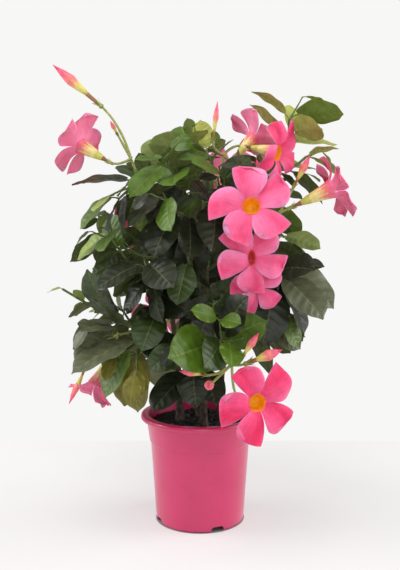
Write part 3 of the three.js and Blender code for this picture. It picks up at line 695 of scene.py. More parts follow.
class Heap:
    """Skins gathered for one piece, with a material number for each face."""

    def __init__(self):
        self.points, self.loops, self.sizes, self.kinds, self.count = [], [], [], [], 0

    def add_faces(self, faces, kinds):
        self.loops.append(faces.ravel())
        self.sizes.append(np.full(len(faces), faces.shape[1]))
        self.kinds.append(np.broadcast_to(kinds, len(faces)))

    def add_skin(self, rings, kinds=0):
        """A closed skin over rings of points that turn right-handed about the way they go."""
        rows, count = rings.shape[:2]
        kinds = np.broadcast_to(kinds, (rows - 1, count))
        grid = self.count + np.arange(rows * count).reshape(rows, count)
        ahead = np.roll(grid, -1, axis=1)
        head, tail = (np.full(count, self.count + grid.size + end) for end in (0, 1))
        quads = np.stack([grid[:-1], ahead[:-1], ahead[1:], grid[1:]], axis=-1)
        self.points.append(np.concatenate([rings.reshape(-1, 3), rings[:1].mean(1), rings[-1:].mean(1)]))
        self.add_faces(quads.reshape(-1, 4), kinds.ravel())
        self.add_faces(np.stack([head, ahead[0], grid[0]], axis=-1), kinds[0])
        self.add_faces(np.stack([tail, grid[-1], ahead[-1]], axis=-1), kinds[-1])
        self.count += grid.size + 2

    def add_sheet(self, top, bottom, top_kinds, bottom_kinds):
        """A thin sheet from its upper and lower points, which share their first and last columns."""
        rings = np.concatenate([top, bottom[:, -2:0:-1]], axis=1)
        kinds = np.concatenate([top_kinds, bottom_kinds[:, ::-1]], axis=1)
        self.add_skin(rings, kinds)


def smooth_mesh(mesh, crease):
    """Smooth shading, but sharp where faces meet at more than an angle."""
    mesh.shade_smooth()
    mesh.set_sharp_from_angle(angle=math.radians(crease))


def make_piece(name, heap, materials, nodes, crease=60):
    """A piece from a heap, riding on the root and standing for nodes of the solids."""
    mesh = bpy.data.meshes.new(name)
    points = np.concatenate(heap.points) * MM
    loops, sizes = np.concatenate(heap.loops), np.concatenate(heap.sizes)
    mesh.vertices.add(len(points))
    mesh.vertices.foreach_set("co", points.astype(np.float32).ravel())
    mesh.loops.add(len(loops))
    mesh.loops.foreach_set("vertex_index", loops.astype(np.int32))
    mesh.polygons.add(len(sizes))
    mesh.polygons.foreach_set("loop_start", (np.cumsum(sizes) - sizes).astype(np.int32))
    mesh.polygons.foreach_set("material_index", np.concatenate(heap.kinds).astype(np.int32))
    mesh.update(calc_edges=True)
    smooth_mesh(mesh, crease)
    for material in materials:
        mesh.materials.append(material)
    piece = bpy.data.objects.new(name, mesh)
    bpy.context.scene.collection.objects.link(piece)
    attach(piece, "root")
    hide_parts(*nodes)
    return piece


# Materials


def linear(colour):
    """A colour in steps from 0 to 255 as the shader's own numbers."""
    share = np.array(colour, float) / 255
    return (*np.where(share <= 0.04045, share / 12.92, ((share + 0.055) / 1.055) ** 2.4), 1)


def mixed(a, b, share):
    return tuple(lerp(np.array(a, float), np.array(b, float), share))


MOTTLE_RANGE, MOTTLE_DETAIL = (0.3, 0.7), 4
BUMP_DISTANCE = 0.0006


def add_node(tree, kind, **inputs):
    """A shader node with some of its sockets set."""
    node = tree.nodes.new(f"ShaderNode{kind}")
    for socket, value in inputs.items():
        node.inputs[socket].default_value = value
    return node


def finish(name, colour, roughness, contrast, grain, bump, bump_grain, sockets=None):
    """A material mottled between a darker and a lighter shade of a colour, with fine bumps."""
    material = bpy.data.materials.new(name)
    material.use_nodes = True
    tree = material.node_tree
    shader = tree.nodes["Principled BSDF"]
    for socket, value in {"Roughness": roughness, **(sockets or {})}.items():
        shader.inputs[socket].default_value = value
    place = add_node(tree, "TexCoord")
    mottle = add_node(tree, "TexNoise", Scale=grain, Detail=MOTTLE_DETAIL)
    fine = add_node(tree, "TexNoise", Scale=bump_grain)
    relief = add_node(tree, "Bump", Strength=bump, Distance=BUMP_DISTANCE)
    ramp = add_node(tree, "ValToRGB")
    low, high = ramp.color_ramp.elements
    low.position, high.position = MOTTLE_RANGE
    low.color = linear(mixed(colour, (0, 0, 0), contrast))
    high.color = linear(mixed(colour, (255, 255, 255), contrast * 0.5))
    for source, output, target, socket in (
        (place, "Object", mottle, "Vector"),
        (place, "Object", fine, "Vector"),
        (mottle, "Fac", ramp, "Fac"),
        (ramp, "Color", shader, "Base Color"),
        (fine, "Fac", relief, "Height"),
        (relief, "Normal", shader, "Normal"),
    ):
        tree.links.new(source.outputs[output], target.inputs[socket])
    return material


def finishes(kind, shades, *look):
    """One finish for each of several shades."""
    return [finish(f"{kind}_{name}", shade, *look) for name, shade in shades.items()]


# Parts of a leaf: the colour that its tint is mixed with, the share of that, the roughness, the contrast and
# grain of the mottling, the strength of the bumps, and the gloss
LEAF_PARTS = {
    "upper": ((0, 0, 0), 0, 0.36, 0.12, 110, 0.12, 0.3),
    "under": ((150, 160, 92), 0.4, 0.6, 0.12, 110, 0.2, 0.3),
    "rib": ((164, 172, 100), 0.34, 0.5, 0.1, 200, 0.1, 0.3),
    "vein": ((164, 172, 100), 0.102, 0.4, 0.12, 110, 0.1, 0.3),
    "petiole": ((124, 126, 52), 0.5, 0.55, 0.15, 200, 0.15, 0.5),
}
LEAF_GRAIN = 900


def leaf_materials(tint):
    """The finishes of a leaf's parts, for leaves of one tint."""
    materials = []
    for part, (other, share, *look, gloss) in LEAF_PARTS.items():
        colour, shine = mixed(TINTS[tint], other, share), {"Specular IOR Level": gloss}
        materials.append(finish(f"leaf_{tint}_{part}", colour, *look, LEAF_GRAIN, shine))
    return materials


# Fine leaves

UPPER, UNDER, RIB, VEIN, PETIOLE = range(len(LEAF_PARTS))
FINE_ACROSS = (0.035, 0.2, 0.42, 0.64, 0.85, 1)
SMALL_ACROSS = (0.05, 0.5, 1)
FINE_FROM = 30
VEINS = 9
VEIN_STEPS = (0, 0.13, 0.42, 0.71)
VEIN_SLANT = 0.7
FINE_ALONG = np.array([(vein + step) / VEINS for vein in range(VEINS) for step in VEIN_STEPS] + [1])
SMALL_ALONG = np.linspace(0, 1, 13)
BLADE_START = 0.06
TIP_START = 0.86
BLADE = Group(
    wide=1.08, tip=0.55, edge=0.004, curl=0.05, sway=0.05, twist=math.radians(24),
    lobe=0.06, lobe_reach=0.14, ripple=0.016, ripples=2.2, quilt=0.014, groove=0.012,
    body=0.0045, keel=0.014,
)
FINE_STALK, SMALL_STALK = 6, 3


def mirrored(half):
    return np.array([-x for x in reversed(half)] + list(half))


def blade_grid(leaf, along, a, quilting, rng):
    """The middle sheet of a blade, in rows along its side veins, with its normals and places along it."""
    length = leaf.length
    t = (0.5 - 0.5 * np.cos(np.pi * lerp(BLADE_START, 1, along)))[:, None]
    t = t + VEIN_SLANT * np.abs(a) * t * (1 - t)
    wide = leaf_outline(np.minimum(t, 1)) * (1 - BLADE.tip * smooth(TIP_START, 1, t)) + BLADE.edge
    half = LEAF_HALF_WIDTH * length * wide * BLADE.wide
    curl = LEAF_BEND + BLADE.curl * (rng.random() - 0.4) * t**2
    sway = BLADE.sway * (rng.random() - 0.5) * length * t**2
    twist = BLADE.twist * (rng.random() - 0.5) * t
    back = BLADE.lobe * length * np.abs(a) ** 1.6 * np.clip(1 - t / BLADE.lobe_reach, 0, 1)
    wave = np.sin(2 * np.pi * (BLADE.ripples * t + rng.random() + 0.3 * np.sign(a)))
    ripple = BLADE.ripple * length * wave * np.abs(a) ** 2
    quilt = quilting * length * np.abs(np.sin(np.pi * VEINS * along))[:, None] * (1 - np.abs(a) ** 3)
    quilt = quilt * smooth(0, 0.15, t) * smooth(1, 0.8, t)
    groove = -BLADE.groove * length * bell(a, 0, 0.1) * (1 - 0.6 * t)
    rise = LEAF_FOLD * half * np.abs(a) ** 1.25 + half * a * np.tan(twist) + ripple + quilt + groove
    place = t[..., None]
    normal = unit(leaf.normal + leaf.axis * 2 * LEAF_BEND * place)
    spine = leaf.foot + leaf.axis * length * place - leaf.normal * (curl * length * t * t)[..., None]
    sheet = spine + leaf.right * (a * half + sway)[..., None] - leaf.axis * back[..., None]
    return sheet + normal * rise[..., None], normal, t


def add_leaf(heap, leaf, fine, rng):
    """A leaf with its petiole, as one closed skin."""
    along, a = (FINE_ALONG, mirrored(FINE_ACROSS)) if fine else (SMALL_ALONG, mirrored(SMALL_ACROSS))
    sheet, normal, t = blade_grid(leaf, along, a, BLADE.quilt if fine else 0, rng)
    body = BLADE.body * leaf.length * (1 - a**4) * np.ones_like(t)
    keel = BLADE.keel * leaf.length * bell(a, 0, 0.08) * (1 - 0.8 * t)
    top = sheet + normal * body[..., None]
    bottom = sheet - normal * (body + keel * (1 - a**4))[..., None]
    blade = np.concatenate([top, bottom[:, -2:0:-1]], axis=1)
    stalk_rows = FINE_STALK if fine else SMALL_STALK
    rings = np.concatenate([petiole_rings(leaf, len(a), stalk_rows), blade])
    columns = len(a) - 1
    kinds = np.full((stalk_rows + len(along) - 1, 2 * columns), PETIOLE)
    kinds[stalk_rows:] = UNDER
    kinds[stalk_rows:, :columns] = UPPER
    if fine:
        kinds[stalk_rows :: len(VEIN_STEPS), :columns] = VEIN
    kinds[stalk_rows:, [columns // 2, columns + columns // 2]] = RIB
    heap.add_skin(rings, kinds)


PETIOLE_BEND, PETIOLE_WAIST = 0.4, 0.15
PETIOLE_FLARE, PETIOLE_FLARE_REACH = 0.5, 0.12


def petiole_rings(leaf, columns, rows):
    """Rings of a petiole that bends from its shoot into the line of its blade."""
    span = np.linalg.norm(leaf.foot - leaf.start)
    bent = Limb("petiole", leaf.start, leaf.foot - leaf.axis * PETIOLE_BEND * span, leaf.foot, (1, 1, 0))
    t = np.arange(rows) / (rows - 1)
    up, right = across(bent.tangent(t), leaf.normal)
    half_turn = np.pi * np.arange(columns) / (columns - 1)
    angle = np.concatenate([np.pi - half_turn, -half_turn[1:-1]])
    flare = PETIOLE_FLARE * np.exp(-t / PETIOLE_FLARE_REACH)
    radius = leaf.stalk * (1 + flare - PETIOLE_WAIST * np.sin(np.pi * t))
    return bent.point(t)[:, None] + ringed(right[:, None], up[:, None], angle) * radius[:, None, None]


# Fine limbs

WANDER, WANDER_LENGTH = 1.2, 21
FLECK_LENGTHS = 5, 3.1
KNOT_SPACING, KNOT_WIDTH = 31, 0.07
RIDGE_SHARE, FLECK_SHARE, KNOT_SHARE = 0.5, 0.35, 1.6


def relief_of(rng, ridges, depth):
    """A bark's relief over the turn about a limb and the length along it: ridges, flecks and knots."""
    phases = rng.random((4, 2)) * 2 * np.pi

    def relief(angle, along):
        ridge = np.sin(ridges * angle + WANDER * np.sin(along / WANDER_LENGTH + phases[0, 0]) + phases[0, 1])
        fleck = np.sin((ridges * 2 + 1) * angle + along / FLECK_LENGTHS[0] + phases[1, 0])
        fleck = fleck * np.sin(along / FLECK_LENGTHS[1] + phases[1, 1])
        knot = bell((along / KNOT_SPACING + phases[2, 0]) % 1, 0.5, KNOT_WIDTH)
        return depth * (RIDGE_SHARE * ridge + FLECK_SHARE * fleck) + KNOT_SHARE * depth * knot

    return relief


# Skins of limbs: the sides, the rings' spacing, the ridges and their depth, and how far the start is sunk
SKINS = {
    "stem": (14, 2.5, 5, 0.1, 4),
    "bough": (12, 2.5, 5, 0.1, 4),
    "shoot": (9, 2.5, 4, 0.08, 3),
    "twig": (7, 2.5, 3, 0.06, 0),
    "spray": (9, 2, 3, 0.07, 3),
    "stalk": (9, 2, 3, 0.07, 0),
}
TIP_CAP = np.array([0.55, 0.9])


def add_limb(heap, limb, skin, rng, levels=()):
    """A limb as a closed skin with relief, its start sunk into its carrier and its tip rounded."""
    sides, spacing, ridges, depth, sink = SKINS[skin]
    relief = relief_of(rng, ridges, depth)
    length = limb.length(60)
    t = np.linspace(0, 1, max(5, math.ceil(length / spacing)))
    t = np.concatenate([[0] if sink else [], t, [1, 1]])
    tangent, radius, push = limb.tangent(t), limb.radius(t), np.zeros(len(t))
    push[0], push[-2:] = -sink, radius[-1] * TIP_CAP
    radius[-2:] *= np.sqrt(1 - TIP_CAP**2)
    centre = limb.point(t) + tangent * push[:, None]
    chord = np.abs(unit(limb.corners[2] - limb.corners[0]))
    side, other = across(tangent, np.eye(3)[int(np.argmin(chord))])
    angle = circle(sides)
    swell = 1 + relief(angle[None, :], (t * length)[:, None])
    ring = ringed(side[:, None], other[:, None], angle)
    rings = centre[:, None] + ring * (radius[:, None] * swell)[..., None]
    heap.add_skin(rings, np.digitize(centre[:-1, 2], levels)[:, None])


# Fine flowers


def profile_points(profile, count):
    """A smooth run of points through a profile's rows, as heights and radii."""
    rows = np.array(profile, float)
    steps = np.concatenate([[0], np.cumsum(np.linalg.norm(np.diff(rows, axis=0), axis=1))])
    s = np.linspace(0, steps[-1], count)
    return np.stack([np.interp(s, steps, rows[:, k]) for k in (0, 1)], axis=1)


PETAL_DEEP, PETAL_PALE = (232, 42, 99), (255, 154, 198)
PETAL_SHADES = 12
PETAL_BACK = PETAL_SHADES
SPRAY_SHADE = {"flowers_centre": 0.25, "flowers_front_low": -0.06}
PETAL_ROWS, PETAL_COLUMNS = 24, 20


def petal_shade(c, v):
    """How pale a petal is: deep along the crease to its point, pale at its round side."""
    crease = bell(c, 0.24, 0.2) * (0.35 + 0.65 * v)
    pale = smooth(0.5, 1, c) * (0.3 + 0.7 * v) + 0.5 * smooth(0.88, 1, v)
    return 0.36 - 0.3 * crease + 0.27 * pale


def petal_plan(c, v):
    """Turns and distances out over a petal, from its point across to its round side."""
    rounding, pointing = 1 - c**4.5, (1 - c) ** 4
    margin = PETAL_CORNER + (PETAL_MARGIN - PETAL_CORNER) * rounding + (PETAL_POINT - PETAL_MARGIN) * pointing
    out = lerp(PETAL_ROOT, margin, v)
    pointed = lerp(ROOT_TURN, POINT_TURN, v**1.2)
    bowed = lerp(-ROOT_TURN, CORNER_TURN, v**2) - ROUND_BOW * np.sin(np.pi * v)
    return lerp(pointed, bowed, c), out


LOBE = Group(
    reach=(0.92, 1.04), funnel=8, fall=(1, 13), pitch=2.4, crease=1.5, wave=2.4,
    curl=(0.5, 5), ribs=0.16, width=(0.9, 1.04), swing=16, skew=6, body=0.32, tint=0.1,
)


def add_petal(heap, bloom, turn, paler, rng):
    """One lobe: a funnel at its root, pitched like a propeller, creased to its point and falling back."""
    v = np.linspace(0, 1, PETAL_ROWS)[:, None]
    c = np.linspace(0, 1, PETAL_COLUMNS)[None, :]
    angle, out = petal_plan(c, v)
    phase = rng.random(6)
    out = lerp(PETAL_ROOT, out, lerp(*LOBE.reach, phase[0]))
    reach = (out - PETAL_ROOT) / (PETAL_POINT - PETAL_ROOT)
    lift = LOBE.funnel * (1 - np.exp(-(out - PETAL_ROOT) / LOBE.funnel))
    lift = lift - lerp(*LOBE.fall, phase[1]) * 2 * np.maximum(reach - 0.3, 0) ** 2
    lift = lift + LOBE.pitch * (2 * c - 1) * np.sin(np.pi * np.clip(reach, 0, 1))
    lift = lift - LOBE.crease * bell(c, 0.3, 0.1) * smooth(0.1, 0.6, v)
    lift = lift + LOBE.wave * np.sin(2 * np.pi * (1.3 * c + phase[2])) * v**2
    lift = lift - lerp(*LOBE.curl, phase[3]) * smooth(0.6, 1, c) * v**2
    lift = lift + LOBE.ribs * np.sin(2 * np.pi * 8 * c) * np.sin(np.pi * v)
    lift, out = bloom.fold(lift, out)
    swing = (LOBE.swing * (phase[4] - 0.5) + LOBE.skew * (phase[5] - 0.5) * c) * v
    turns = np.radians(angle * lerp(*LOBE.width, phase[5]) + bloom.turn + turn + swing)
    body = LOBE.body * (1 - (2 * c - 1) ** 4) * np.ones_like(lift)
    top, bottom = (bloom.place(lift + way * body, out, turns) for way in (1, -1))
    mid_c, mid_v = (c[:, 1:] + c[:, :-1]) / 2, (v[1:] + v[:-1]) / 2
    shade = petal_shade(mid_c, mid_v) + paler + LOBE.tint * (rng.random() - 0.5)
    top_kinds = np.clip((shade * PETAL_SHADES).astype(int), 0, PETAL_SHADES - 1)
    heap.add_sheet(top, bottom, top_kinds, np.full_like(top_kinds, PETAL_BACK))


TUBE_TINTS = {
    "maroon": (142, 92, 50),
    "lime": (206, 200, 92),
    "straw": (244, 226, 142),
    "peach": (246, 186, 128),
    "coral": (244, 118, 118),
    "rose": (248, 104, 148),
    "rim": (250, 120, 80),
    "orange": (255, 166, 12),
    # gold, at the bottom of the throat, is partly the throat's own yellow and partly painted light, paler
    # where the deep hollow is in shade
    "gold": (255, 190, 40),
    # ember is partly the throat rim's own red and partly painted shade, darker for the narrow throat of a
    # pinched flower
    "ember": (240, 96, 88),
}
TUBE_KINDS = {name: index for index, name in enumerate(TUBE_TINTS)}
# Bands of tint up the outside and the throat, with the height that each reaches up to
OUTER_BANDS = {"maroon": -37, "lime": -26, "straw": -15, "peach": -9, "coral": -3, "rose": 0}
THROAT_BANDS = {"gold": -9, "orange": 0.2, "rim": 2}
TUBE_COLUMNS, OUTER_ROWS, INNER_ROWS = 50, 46, 14
TUBE_RIB, TUBE_RIB_RADII = 0.035, (2, 8)
BROAD_STREAK, NARROW_STREAK, NARROW_STREAKS = 3, 2, 7
STREAK_PHASES, STREAK_HEIGHTS = 6, (-32, -12)


def banded(heights, bands):
    """The numbers of the tube's tints at heights."""
    tints = np.array([TUBE_KINDS[name] for name in bands])
    return tints[np.digitize(heights, list(bands.values())[:-1])]


def add_trumpet(heap, bloom, rng):
    """The tube with its ribs and streaks, and the hollow orange throat."""
    rows = np.concatenate([profile_points(OUTER_TUBE, OUTER_ROWS), profile_points(INNER_TUBE, INNER_ROWS)])
    angle = circle(TUBE_COLUMNS)
    rib = 1 + TUBE_RIB * np.cos(PETALS * angle)[None, :] * smooth(*TUBE_RIB_RADII, rows[:, 1])[:, None]
    lift = np.broadcast_to(rows[:, :1], (len(rows), TUBE_COLUMNS))
    rings = bloom.place(lift, rows[:, 1:] * rib, np.broadcast_to(angle, lift.shape))
    middle = (rows[1:, 0] + rows[:-1, 0]) / 2
    streak = BROAD_STREAK * np.cos(2 * PETALS * angle + rng.random() * STREAK_PHASES)
    streak = streak + NARROW_STREAK * np.sin(NARROW_STREAKS * angle + rng.random() * STREAK_PHASES)
    outer = banded(middle[:, None] + streak[None, :] * smooth(*STREAK_HEIGHTS, middle)[:, None], OUTER_BANDS)
    # Pinched flowers take ember all through their throat: partly painted shade.
    inner = banded(middle, THROAT_BANDS) if bloom.pinch == 1 else np.full(len(middle), TUBE_KINDS["ember"])
    inside = np.arange(len(middle)) >= OUTER_ROWS
    heap.add_skin(rings, np.where(inside[:, None], inner[:, None], outer))


SEPAL = Group(
    count=5, length=9, half=1.25, spread=0.32, gap=0.25, hollow=0.25, body=0.22,
    shortest=0.85, longer=0.3, foot=0.14, fullness=0.8, tip=0.05, knob_radius=1.1,
)
SEPAL_ALONG, SEPAL_ACROSS = np.linspace(0, 1, 8), np.array([-1, -0.45, 0.45, 1])
SEPAL_KNOB = np.array([(-2.6, 0.8), (-1.6, 1.5), (0, 1.75), (1.5, 1.3), (2.4, 0.9)])


def add_knob(heap, foot, axis, first, second, rows, sides):
    """A small turned knob, from heights along its axis and radii."""
    ring = ringed(first, second, circle(sides))[None]
    heap.add_skin(foot + axis * rows[:, :1, None] + ring * rows[:, 1:, None])


def add_sepals(heap, foot, axis, radius, size, rng):
    """A ring of sepals round the foot of a flower or bud, and the swelling under them."""
    first, second = square_to(axis)
    t, a = SEPAL_ALONG, SEPAL_ACROSS
    start = rng.random() * 2 * np.pi
    for turn in start + circle(SEPAL.count):
        out = first * math.cos(turn) + second * math.sin(turn)
        side = np.cross(axis, out)
        length = SEPAL.length * size * (SEPAL.shortest + SEPAL.longer * rng.random())
        swell = np.sin(np.pi * np.clip(lerp(SEPAL.foot, 1, t), 0, 1)) ** SEPAL.fullness
        half = SEPAL.half * size * swell + SEPAL.tip
        away = radius + SEPAL.gap + length * SEPAL.spread * t**2
        spine = foot + axis * (length * t)[:, None] + out * away[:, None]
        hollow = out * (SEPAL.hollow * half[:, None] * a**2)[..., None]
        sheet = spine[:, None] - side * (half[:, None] * a)[..., None] - hollow
        body = SEPAL.body * size * (1 - a**2)[None, :, None]
        kinds = np.zeros((len(t) - 1, len(a) - 1), int)
        heap.add_sheet(sheet - out * body, sheet + out * body, kinds, kinds)
    add_knob(heap, foot, axis, first, second, SEPAL_KNOB * size * (1, max(radius, 1) / SEPAL.knob_radius), 12)


BUD_TINTS = {
    "tube": (158, 104, 60),
    "foot": (196, 168, 84),
    "lime": (226, 216, 116),
    "straw": (240, 196, 124),
    "peach": (246, 156, 126),
    "salmon": (246, 122, 124),
    "pink": (240, 98, 128),
    "deep": (214, 60, 96),
}
BUD = Group(laps=5, columns=7, winding=1.6, rows=48, bulge=0.08, bulge_from=(0.3, 0.6), blend=0.03)
BUD_BANDS = [0.27, 0.32, 0.47, 0.52, 0.58, 0.74, 0.9]


def add_bud(heap, foot, tip, radius, rng):
    """A bud, its petals wound round each other into a twisted spindle."""
    foot, tip = np.array(foot, float), np.array(tip, float)
    axis = unit(tip - foot)
    first, second = square_to(axis)
    rows = profile_points([(100 * t, 100 * r) for t, r in BUD_SHAPE], BUD.rows) / 100
    t, share = rows[:, :1], rows[:, 1:]
    column = np.arange(BUD.laps * BUD.columns)[None, :]
    angle = circle(column.size)[None, :] + BUD.winding * t
    lap = (column % BUD.columns) / (BUD.columns - 1)
    bulge = 1 + BUD.bulge * (lap - 0.5) * smooth(*BUD.bulge_from, t)
    spine = foot + axis * (t * np.linalg.norm(tip - foot))[..., None]
    reach = t[:-1] + BUD.blend * np.sin(2 * np.pi * lap) + BUD.blend * rng.random()
    rings = spine + ringed(first, second, angle) * (share * radius * bulge)[..., None]
    heap.add_skin(rings, np.digitize(reach, BUD_BANDS))


SCAR_KNOB = np.array([(0, 1.1), (1.6, 0.95), (2.6, 0.8), (3, 0.4)])
SCAR_PLACES = np.arange(0.35, 0.98, 0.12)
SCAR_TURN, SCAR_LEAN, SCAR_SIDES = 2.4, 0.6, 7


def add_scars(heap, limb, rng):
    """Small knobs along a spray's stem, where earlier flowers have dropped."""
    for index, t in enumerate(SCAR_PLACES):
        tangent = limb.tangent(t)
        first, second = square_to(tangent)
        turn = SCAR_TURN * index + rng.random()
        way = unit(first * math.cos(turn) + second * math.sin(turn) + tangent * SCAR_LEAN)
        add_knob(heap, limb.point(t), way, *across(way, tangent), SCAR_KNOB, SCAR_SIDES)


# Pot and peat

POT_SIDES, ROUND_STEPS = 144, 6


def rounded(corners):
    """A profile from corners with a radius, a height and how far along each side the rounding reaches."""
    path = np.array([corner[:2] for corner in corners], float)
    points = [path[0]]
    for before, here, after, (_, _, reach) in zip(path, path[1:], path[2:], corners[1:]):
        start, end = here + unit(before - here) * reach, here + unit(after - here) * reach
        points.extend(curve(start, here, end, np.linspace(0, 1, ROUND_STEPS)))
    return np.array([*points, path[-1]])


def lathe_rings(profile, sides):
    angle = circle(sides)
    ring = np.stack([np.cos(angle), np.sin(angle), np.zeros(sides)], axis=1)
    return ring[None] * profile[:, :1, None] + UP * profile[:, 1:, None]


POT_CREASE = 35


def make_pot():
    """The pot, turned with a rounded lip, a stepped collar and notches cut from its bottom edge."""
    lip_foot = POT_HEIGHT - LIP_HEIGHT
    profile = rounded([
        (0.5, 0, 0),
        (BASE_RADIUS, 0, 3),
        (BODY_TOP_RADIUS, COLLAR_FOOT, 0.4),
        (BODY_TOP_RADIUS + COLLAR_STEP, COLLAR_FOOT + 1, 0.9),
        (COLLAR_TOP_RADIUS, lip_foot, 1.4),
        (RIM_RADIUS, lip_foot - 0.5, 2.6),
        (RIM_RADIUS - 0.6, POT_HEIGHT, 2.4),
        (inner_radius(POT_HEIGHT), POT_HEIGHT, 1.4),
        (inner_radius(COLLAR_FOOT), COLLAR_FOOT, 1),
        (inner_radius(FLOOR), FLOOR, 3),
        (0.5, FLOOR, 0),
    ])
    heap = Heap()
    heap.add_skin(lathe_rings(profile, POT_SIDES))
    gloss = {"Coat Weight": 0.45, "Coat Roughness": 0.25}
    plastic = finish("pot_plastic", (205, 36, 96), 0.3, 0.05, 25, 0.05, 1400, gloss)
    pot = make_piece("nursery_pot", heap, [plastic], ["pot"], POT_CREASE)
    cutters = [notch_cutter(index) for index in range(NOTCH.count)]
    for cutter in cutters:
        cut = pot.modifiers.new("notch", "BOOLEAN")
        cut.operation, cut.object, cut.solver = "DIFFERENCE", cutter, "EXACT"
    apply_modifiers(pot)
    for cutter in cutters:
        bpy.data.objects.remove(cutter)
    smooth_mesh(pot.data, POT_CREASE)


CUTTER = Group(inward=10, outward=14, below=3, flare=1, shoulder=2, slope=2.5)


def notch_cutter(index):
    """A block with a slightly arched top that cuts one notch."""
    turn = math.radians(-90 + NOTCH.turn + 360 * index / NOTCH.count)
    half, height, below = NOTCH.width / 2, NOTCH.height, -CUTTER.below
    foot, crown, shoulder = half + CUTTER.flare, half - CUTTER.slope, height - CUTTER.shoulder
    shape = [(foot, below), (half, shoulder), (crown, height)]
    shape = [(-foot, below), *shape, (-crown, height), (-half, shoulder)]
    ends = BASE_RADIUS - CUTTER.inward, BASE_RADIUS + CUTTER.outward
    points = np.array([(x, y, z) for x in ends for y, z in shape], float)
    matrix = np.array(Matrix.Rotation(turn, 3, "Z"))
    count = len(shape)
    faces = [(j, (j + 1) % count, count + (j + 1) % count, count + j) for j in range(count)]
    faces += [tuple(range(count))[::-1], tuple(range(count, 2 * count))]
    mesh = bpy.data.meshes.new("notch_cutter")
    mesh.from_pydata((points @ matrix.T * MM).tolist(), [], faces)
    cutter = bpy.data.objects.new("notch_cutter", mesh)
    bpy.context.scene.collection.objects.link(cutter)
    return cutter


def apply_modifiers(piece):
    bpy.context.view_layer.update()
    evaluated = piece.evaluated_get(bpy.context.evaluated_depsgraph_get())
    mesh = bpy.data.meshes.new_from_object(evaluated)
    piece.modifiers.clear()
    piece.data = mesh


PEAT_RINGS, PEAT_SIDES = 34, 110
CRUMB = Group(count=700, rows=5, sides=7, least=0.8, more=2.4, lift=0.25, blunt=0.25, rough=0.35, margin=4)
BARK_SHARE = 0.03
# The peat's colours are partly its own near-black and partly painted shade, darkened for the shadow of the
# crown over the pot.
PEAT_SHADES = {0: (9, 5, 5), 1: (14, 9, 8), 2: (46, 33, 25)}
PEAT_WAVES = ((0.1, 0.9), (0.17, 0.7), (0.3, 0.5), (0.5, 0.35), (0.9, 0.25), (1.4, 0.18))
PEAT_DROP, PEAT_EDGE = 1.2, 2


def peat_height(x, y, waves):
    """The lumpy height of the peat's surface over a place."""
    bumps = sum(depth * np.sin(kx * x + ky * y + phase) for kx, ky, phase, depth in waves)
    return SOIL_TOP - PEAT_DROP + bumps


def make_peat():
    """The peat, lumpy on top, with loose crumbs and a few pale bits of bark."""
    rng = np.random.default_rng(SEEDS.peat)
    waves = [(*(rng.normal(size=2) * pitch), rng.random() * 2 * np.pi, depth) for pitch, depth in PEAT_WAVES]
    heap = Heap()
    edge = SOIL_TOP - PEAT_EDGE
    skirt = [
        (1, FLOOR + CLEAR),
        (inner_radius(FLOOR) - CLEAR - 0.2, FLOOR + CLEAR),
        (inner_radius(COLLAR_FOOT) - CLEAR, COLLAR_FOOT),
        (inner_radius(edge) - CLEAR - 0.1, edge),
    ]
    reach = skirt[-1][0]
    top = [(reach * share, SOIL_TOP) for share in np.linspace(0.985, 0.02, PEAT_RINGS)]
    rings = lathe_rings(np.array(skirt + top), PEAT_SIDES)
    surface = rings[len(skirt):]
    surface[..., 2] = peat_height(surface[..., 0], surface[..., 1], waves)
    heap.add_skin(rings, 0)
    for _ in range(CRUMB.count):
        turn, out = rng.random() * 2 * np.pi, (reach - CRUMB.margin) * math.sqrt(rng.random())
        x, y = out * math.cos(turn), out * math.sin(turn)
        size = CRUMB.least + CRUMB.more * rng.random() ** 3
        centre = np.array([x, y, peat_height(x, y, waves) + size * CRUMB.lift])
        kind = 2 if rng.random() > 1 - BARK_SHARE else int(rng.random() > 0.5)
        add_crumb(heap, centre, size, kind, rng)
    make_piece("peat", heap, finishes("peat", PEAT_SHADES, 0.95, 0.35, 260, 0.8, 900), ["soil"], 50)


def add_crumb(heap, centre, size, kind, rng):
    """A rough lump."""
    tilt = np.linspace(CRUMB.blunt, np.pi - CRUMB.blunt, CRUMB.rows)[:, None]
    angle = circle(CRUMB.sides)[None, :]
    ball = [np.sin(tilt) * np.cos(angle), np.sin(tilt) * np.sin(angle), -np.cos(tilt) + 0 * angle]
    rough = 1 + CRUMB.rough * (rng.random((CRUMB.rows, CRUMB.sides, 1)) - 0.5)
    heap.add_skin(centre + np.stack(ball, axis=-1) * rough * (0.7 + 0.6 * rng.random(3)) * size, kind)


# Plant pieces

BARK_LEVELS = [215, 300]


def make_limbs(limbs):
    """Stems and boughs with bark, brown and woody below and green above."""
    rng = np.random.default_rng(SEEDS.limbs)
    bark = [
        finish("stem_bark", (58, 44, 32), 0.85, 0.35, 220, 0.7, 600),
        finish("stem_olive", (92, 92, 46), 0.7, 0.25, 220, 0.4, 600),
        finish("stem_green", (84, 112, 48), 0.6, 0.2, 220, 0.3, 600),
    ]
    for piece, rows, slot in (("bark_stems", STEMS, "stem"), ("bark_boughs", BOUGHS, "bough")):
        heap = Heap()
        for name in rows:
            add_limb(heap, limbs[name], slot, rng, BARK_LEVELS)
        make_piece(piece, heap, bark, list(rows))


def make_foliage(leaves, finer):
    """The leaves of each tint as one piece, standing for the masses that they grow on."""
    heaps, nodes = {}, {}
    rng = np.random.default_rng(SEEDS.foliage)

    def grow(name, tint, leaf, fine):
        nodes.setdefault(tint, set()).add(name)
        add_leaf(heaps.setdefault(tint, Heap()), leaf, fine, rng)

    for name, own in leaves.items():
        tint, others = MASSES[name][-2:]
        for number, leaf in enumerate(own):
            grow(name, others.get(number, tint), leaf, leaf.length > FINE_FROM)
        for _, grown in finer[name]:
            for leaf in grown:
                grow(name, tint, leaf, False)
    for tint in sorted(heaps):
        make_piece(f"foliage_{tint}", heaps[tint], leaf_materials(tint), sorted(nodes[tint]))


